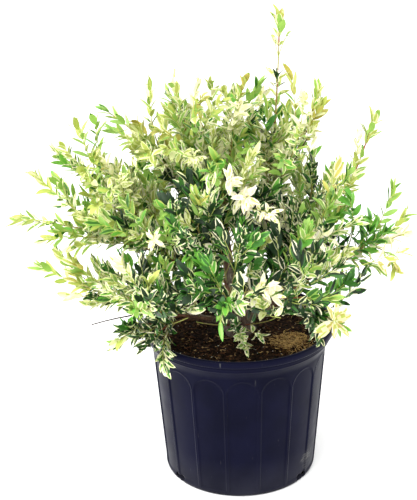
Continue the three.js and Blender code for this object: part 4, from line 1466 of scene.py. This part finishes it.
def make_foliage(name, twigs, draw, *nodes):
    """One piece with the wood of some twigs, and one with their leaves."""
    wood, blades, leaves = Heap(), Heap(), LeafList()
    for twig in twigs:
        heap_twig(wood, twig)
        grow_leaves(twig, draw, leaves)
    heap_leaves(leaves, draw, blades)
    wood.piece("twigs_" + name, SHOOT_FINISHES, "young_bark")
    blades.piece("foliage_" + name, LEAF_FINISHES, "foliage", *nodes)


def make_masses():
    """Each mass draws from a seed of its own, so a change to one leaves the others as they are."""
    for i, name in enumerate(MASSES):
        draw = np.random.default_rng(FIRST_SEED + SEED_STEP * i)
        make_foliage(name, grow_twigs(name, draw), draw, "leaves_" + name)


def make_basal_shoots():
    """The small shoots lean out from the crown's side, bowed a little."""
    draw = np.random.default_rng(FIRST_SEED - SEED_STEP)
    basal = []
    for tip, tone, scale, leafy in BASAL_SHOOTS:
        tip = np.array(tip, float)
        lean = 0.12 * np.array([tip[0], tip[1], 0])
        root = lean + (SOIL_TOP + 12) * UP
        path = stretch((root, (root + tip) / 2 + lean, tip), 0, 1, 5)
        basal.append(Twig(path, (1.2, SHOOT_TIP), tone, tone, leafy, scale))
    make_foliage("basal", basal, draw)


def make_bare_twigs():
    """Each dead twig leaves its stem as a bough would, and ends blunt."""
    heap = Heap()
    for stem, at, tip in BARE_TWIGS:
        path = stretch(reaching_curve(stem_curve(stem), at, np.array(tip, float)), 0, 1, 8)
        heap_tube(heap, path, np.linspace(1.5, 0.9, 9), 6)
    heap.piece("bare_twigs", [DEAD_TWIG], "young_bark")


# Stage.

# The camera of the photograph, fitted to the lip and foot of the pot. Lens and sensor are in millimetres.
CAMERA_PLACE = (0, -EYE_DISTANCE * MM, EYE_HEIGHT * MM)
CAMERA_LENS = 85.4
CAMERA_SENSOR = 36
CAMERA_PITCH = 21.28
CAMERA_YAW = 1.51
CAMERA_ROLL = -1.29

# The light: an even white sky, a large soft source high in front and to the left that lights the floor
# evenly as far as it shows, and three soft boxes, each with its place, the spot it is aimed at, its width
# and height and its watts.
SKY_STRENGTH = 1.42
OVERHEAD_STRENGTH = 1.9
OVERHEAD_WIDTH = 50
OVERHEAD_WAY = (0.32, 0.6, -1)
SOFT_BOXES = {
    "fill": ((-1.2, -1.6, 1.4), (-0.08, 0, 0.48), 1.2, 1.2, 16),
    "left_strip": ((-1.5, 0.25, 0.4), (0, 0, 0.1), 0.4, 0.8, 16),
    "right_strip": ((1.5, 0.1, 0.4), (0, 0, 0.1), 0.4, 0.8, 8),
}
FLOOR_HALF = 10


def make_stage():
    """A plain white floor, far wider than the view."""
    mesh = bpy.data.meshes.new("floor")
    corners = [(x * FLOOR_HALF, y * FLOOR_HALF, 0) for x, y in ((-1, -1), (1, -1), (1, 1), (-1, 1))]
    mesh.from_pydata(corners, [], [(0, 1, 2, 3)])
    mesh.materials.append(plain_finish("matt_white_paper", "#f4f4f4", 0.9, 0.1))
    floor = put_in_scene("floor", mesh)


def make_light(name, kind, way, power):
    """A light that shines one way, from the origin until it is placed."""
    lamp = put_in_scene(name, bpy.data.lights.new(name, kind))
    lamp.data.energy = power
    lamp.rotation_euler = way.to_track_quat("-Z", "Y").to_euler()
    return lamp


def make_lights():
    """The sky, the overhead light and the soft boxes."""
    world = bpy.data.worlds.new("studio")
    world.use_nodes = True
    sky = world.node_tree.nodes["Background"].inputs
    sky["Color"].default_value = linear("#ffffff")
    sky["Strength"].default_value = SKY_STRENGTH
    bpy.context.scene.world = world
    overhead = make_light("overhead", "SUN", Vector(OVERHEAD_WAY), OVERHEAD_STRENGTH)
    overhead.data.angle = math.radians(OVERHEAD_WIDTH)
    for name, (place, target, width, height, power) in SOFT_BOXES.items():
        box = make_light(name, "AREA", Vector(target) - Vector(place), power)
        box.location = place
        box.data.shape = "RECTANGLE"
        box.data.size = width
        box.data.size_y = height


def make_camera():
    """The camera looks down at the plant, and colours are shown as they are."""
    scene = bpy.context.scene
    scene.view_settings.view_transform = "Standard"
    lens = bpy.data.cameras.new("camera")
    lens.lens = CAMERA_LENS
    lens.sensor_width = CAMERA_SENSOR
    turn = (
        Matrix.Rotation(math.radians(CAMERA_YAW), 4, "Z")
        @ Matrix.Rotation(math.radians(90 - CAMERA_PITCH), 4, "X")
        @ Matrix.Rotation(math.radians(CAMERA_ROLL), 4, "Z")
    )
    camera = put_in_scene("camera", lens)
    camera.matrix_world = Matrix.Translation(CAMERA_PLACE) @ turn
    scene.camera = camera


make_lights()
make_camera()
make_stage()
make_pot()
make_soil()
make_litter()
make_crown_of_roots()
make_wood()
make_masses()
make_basal_shoots()
make_bare_twigs()
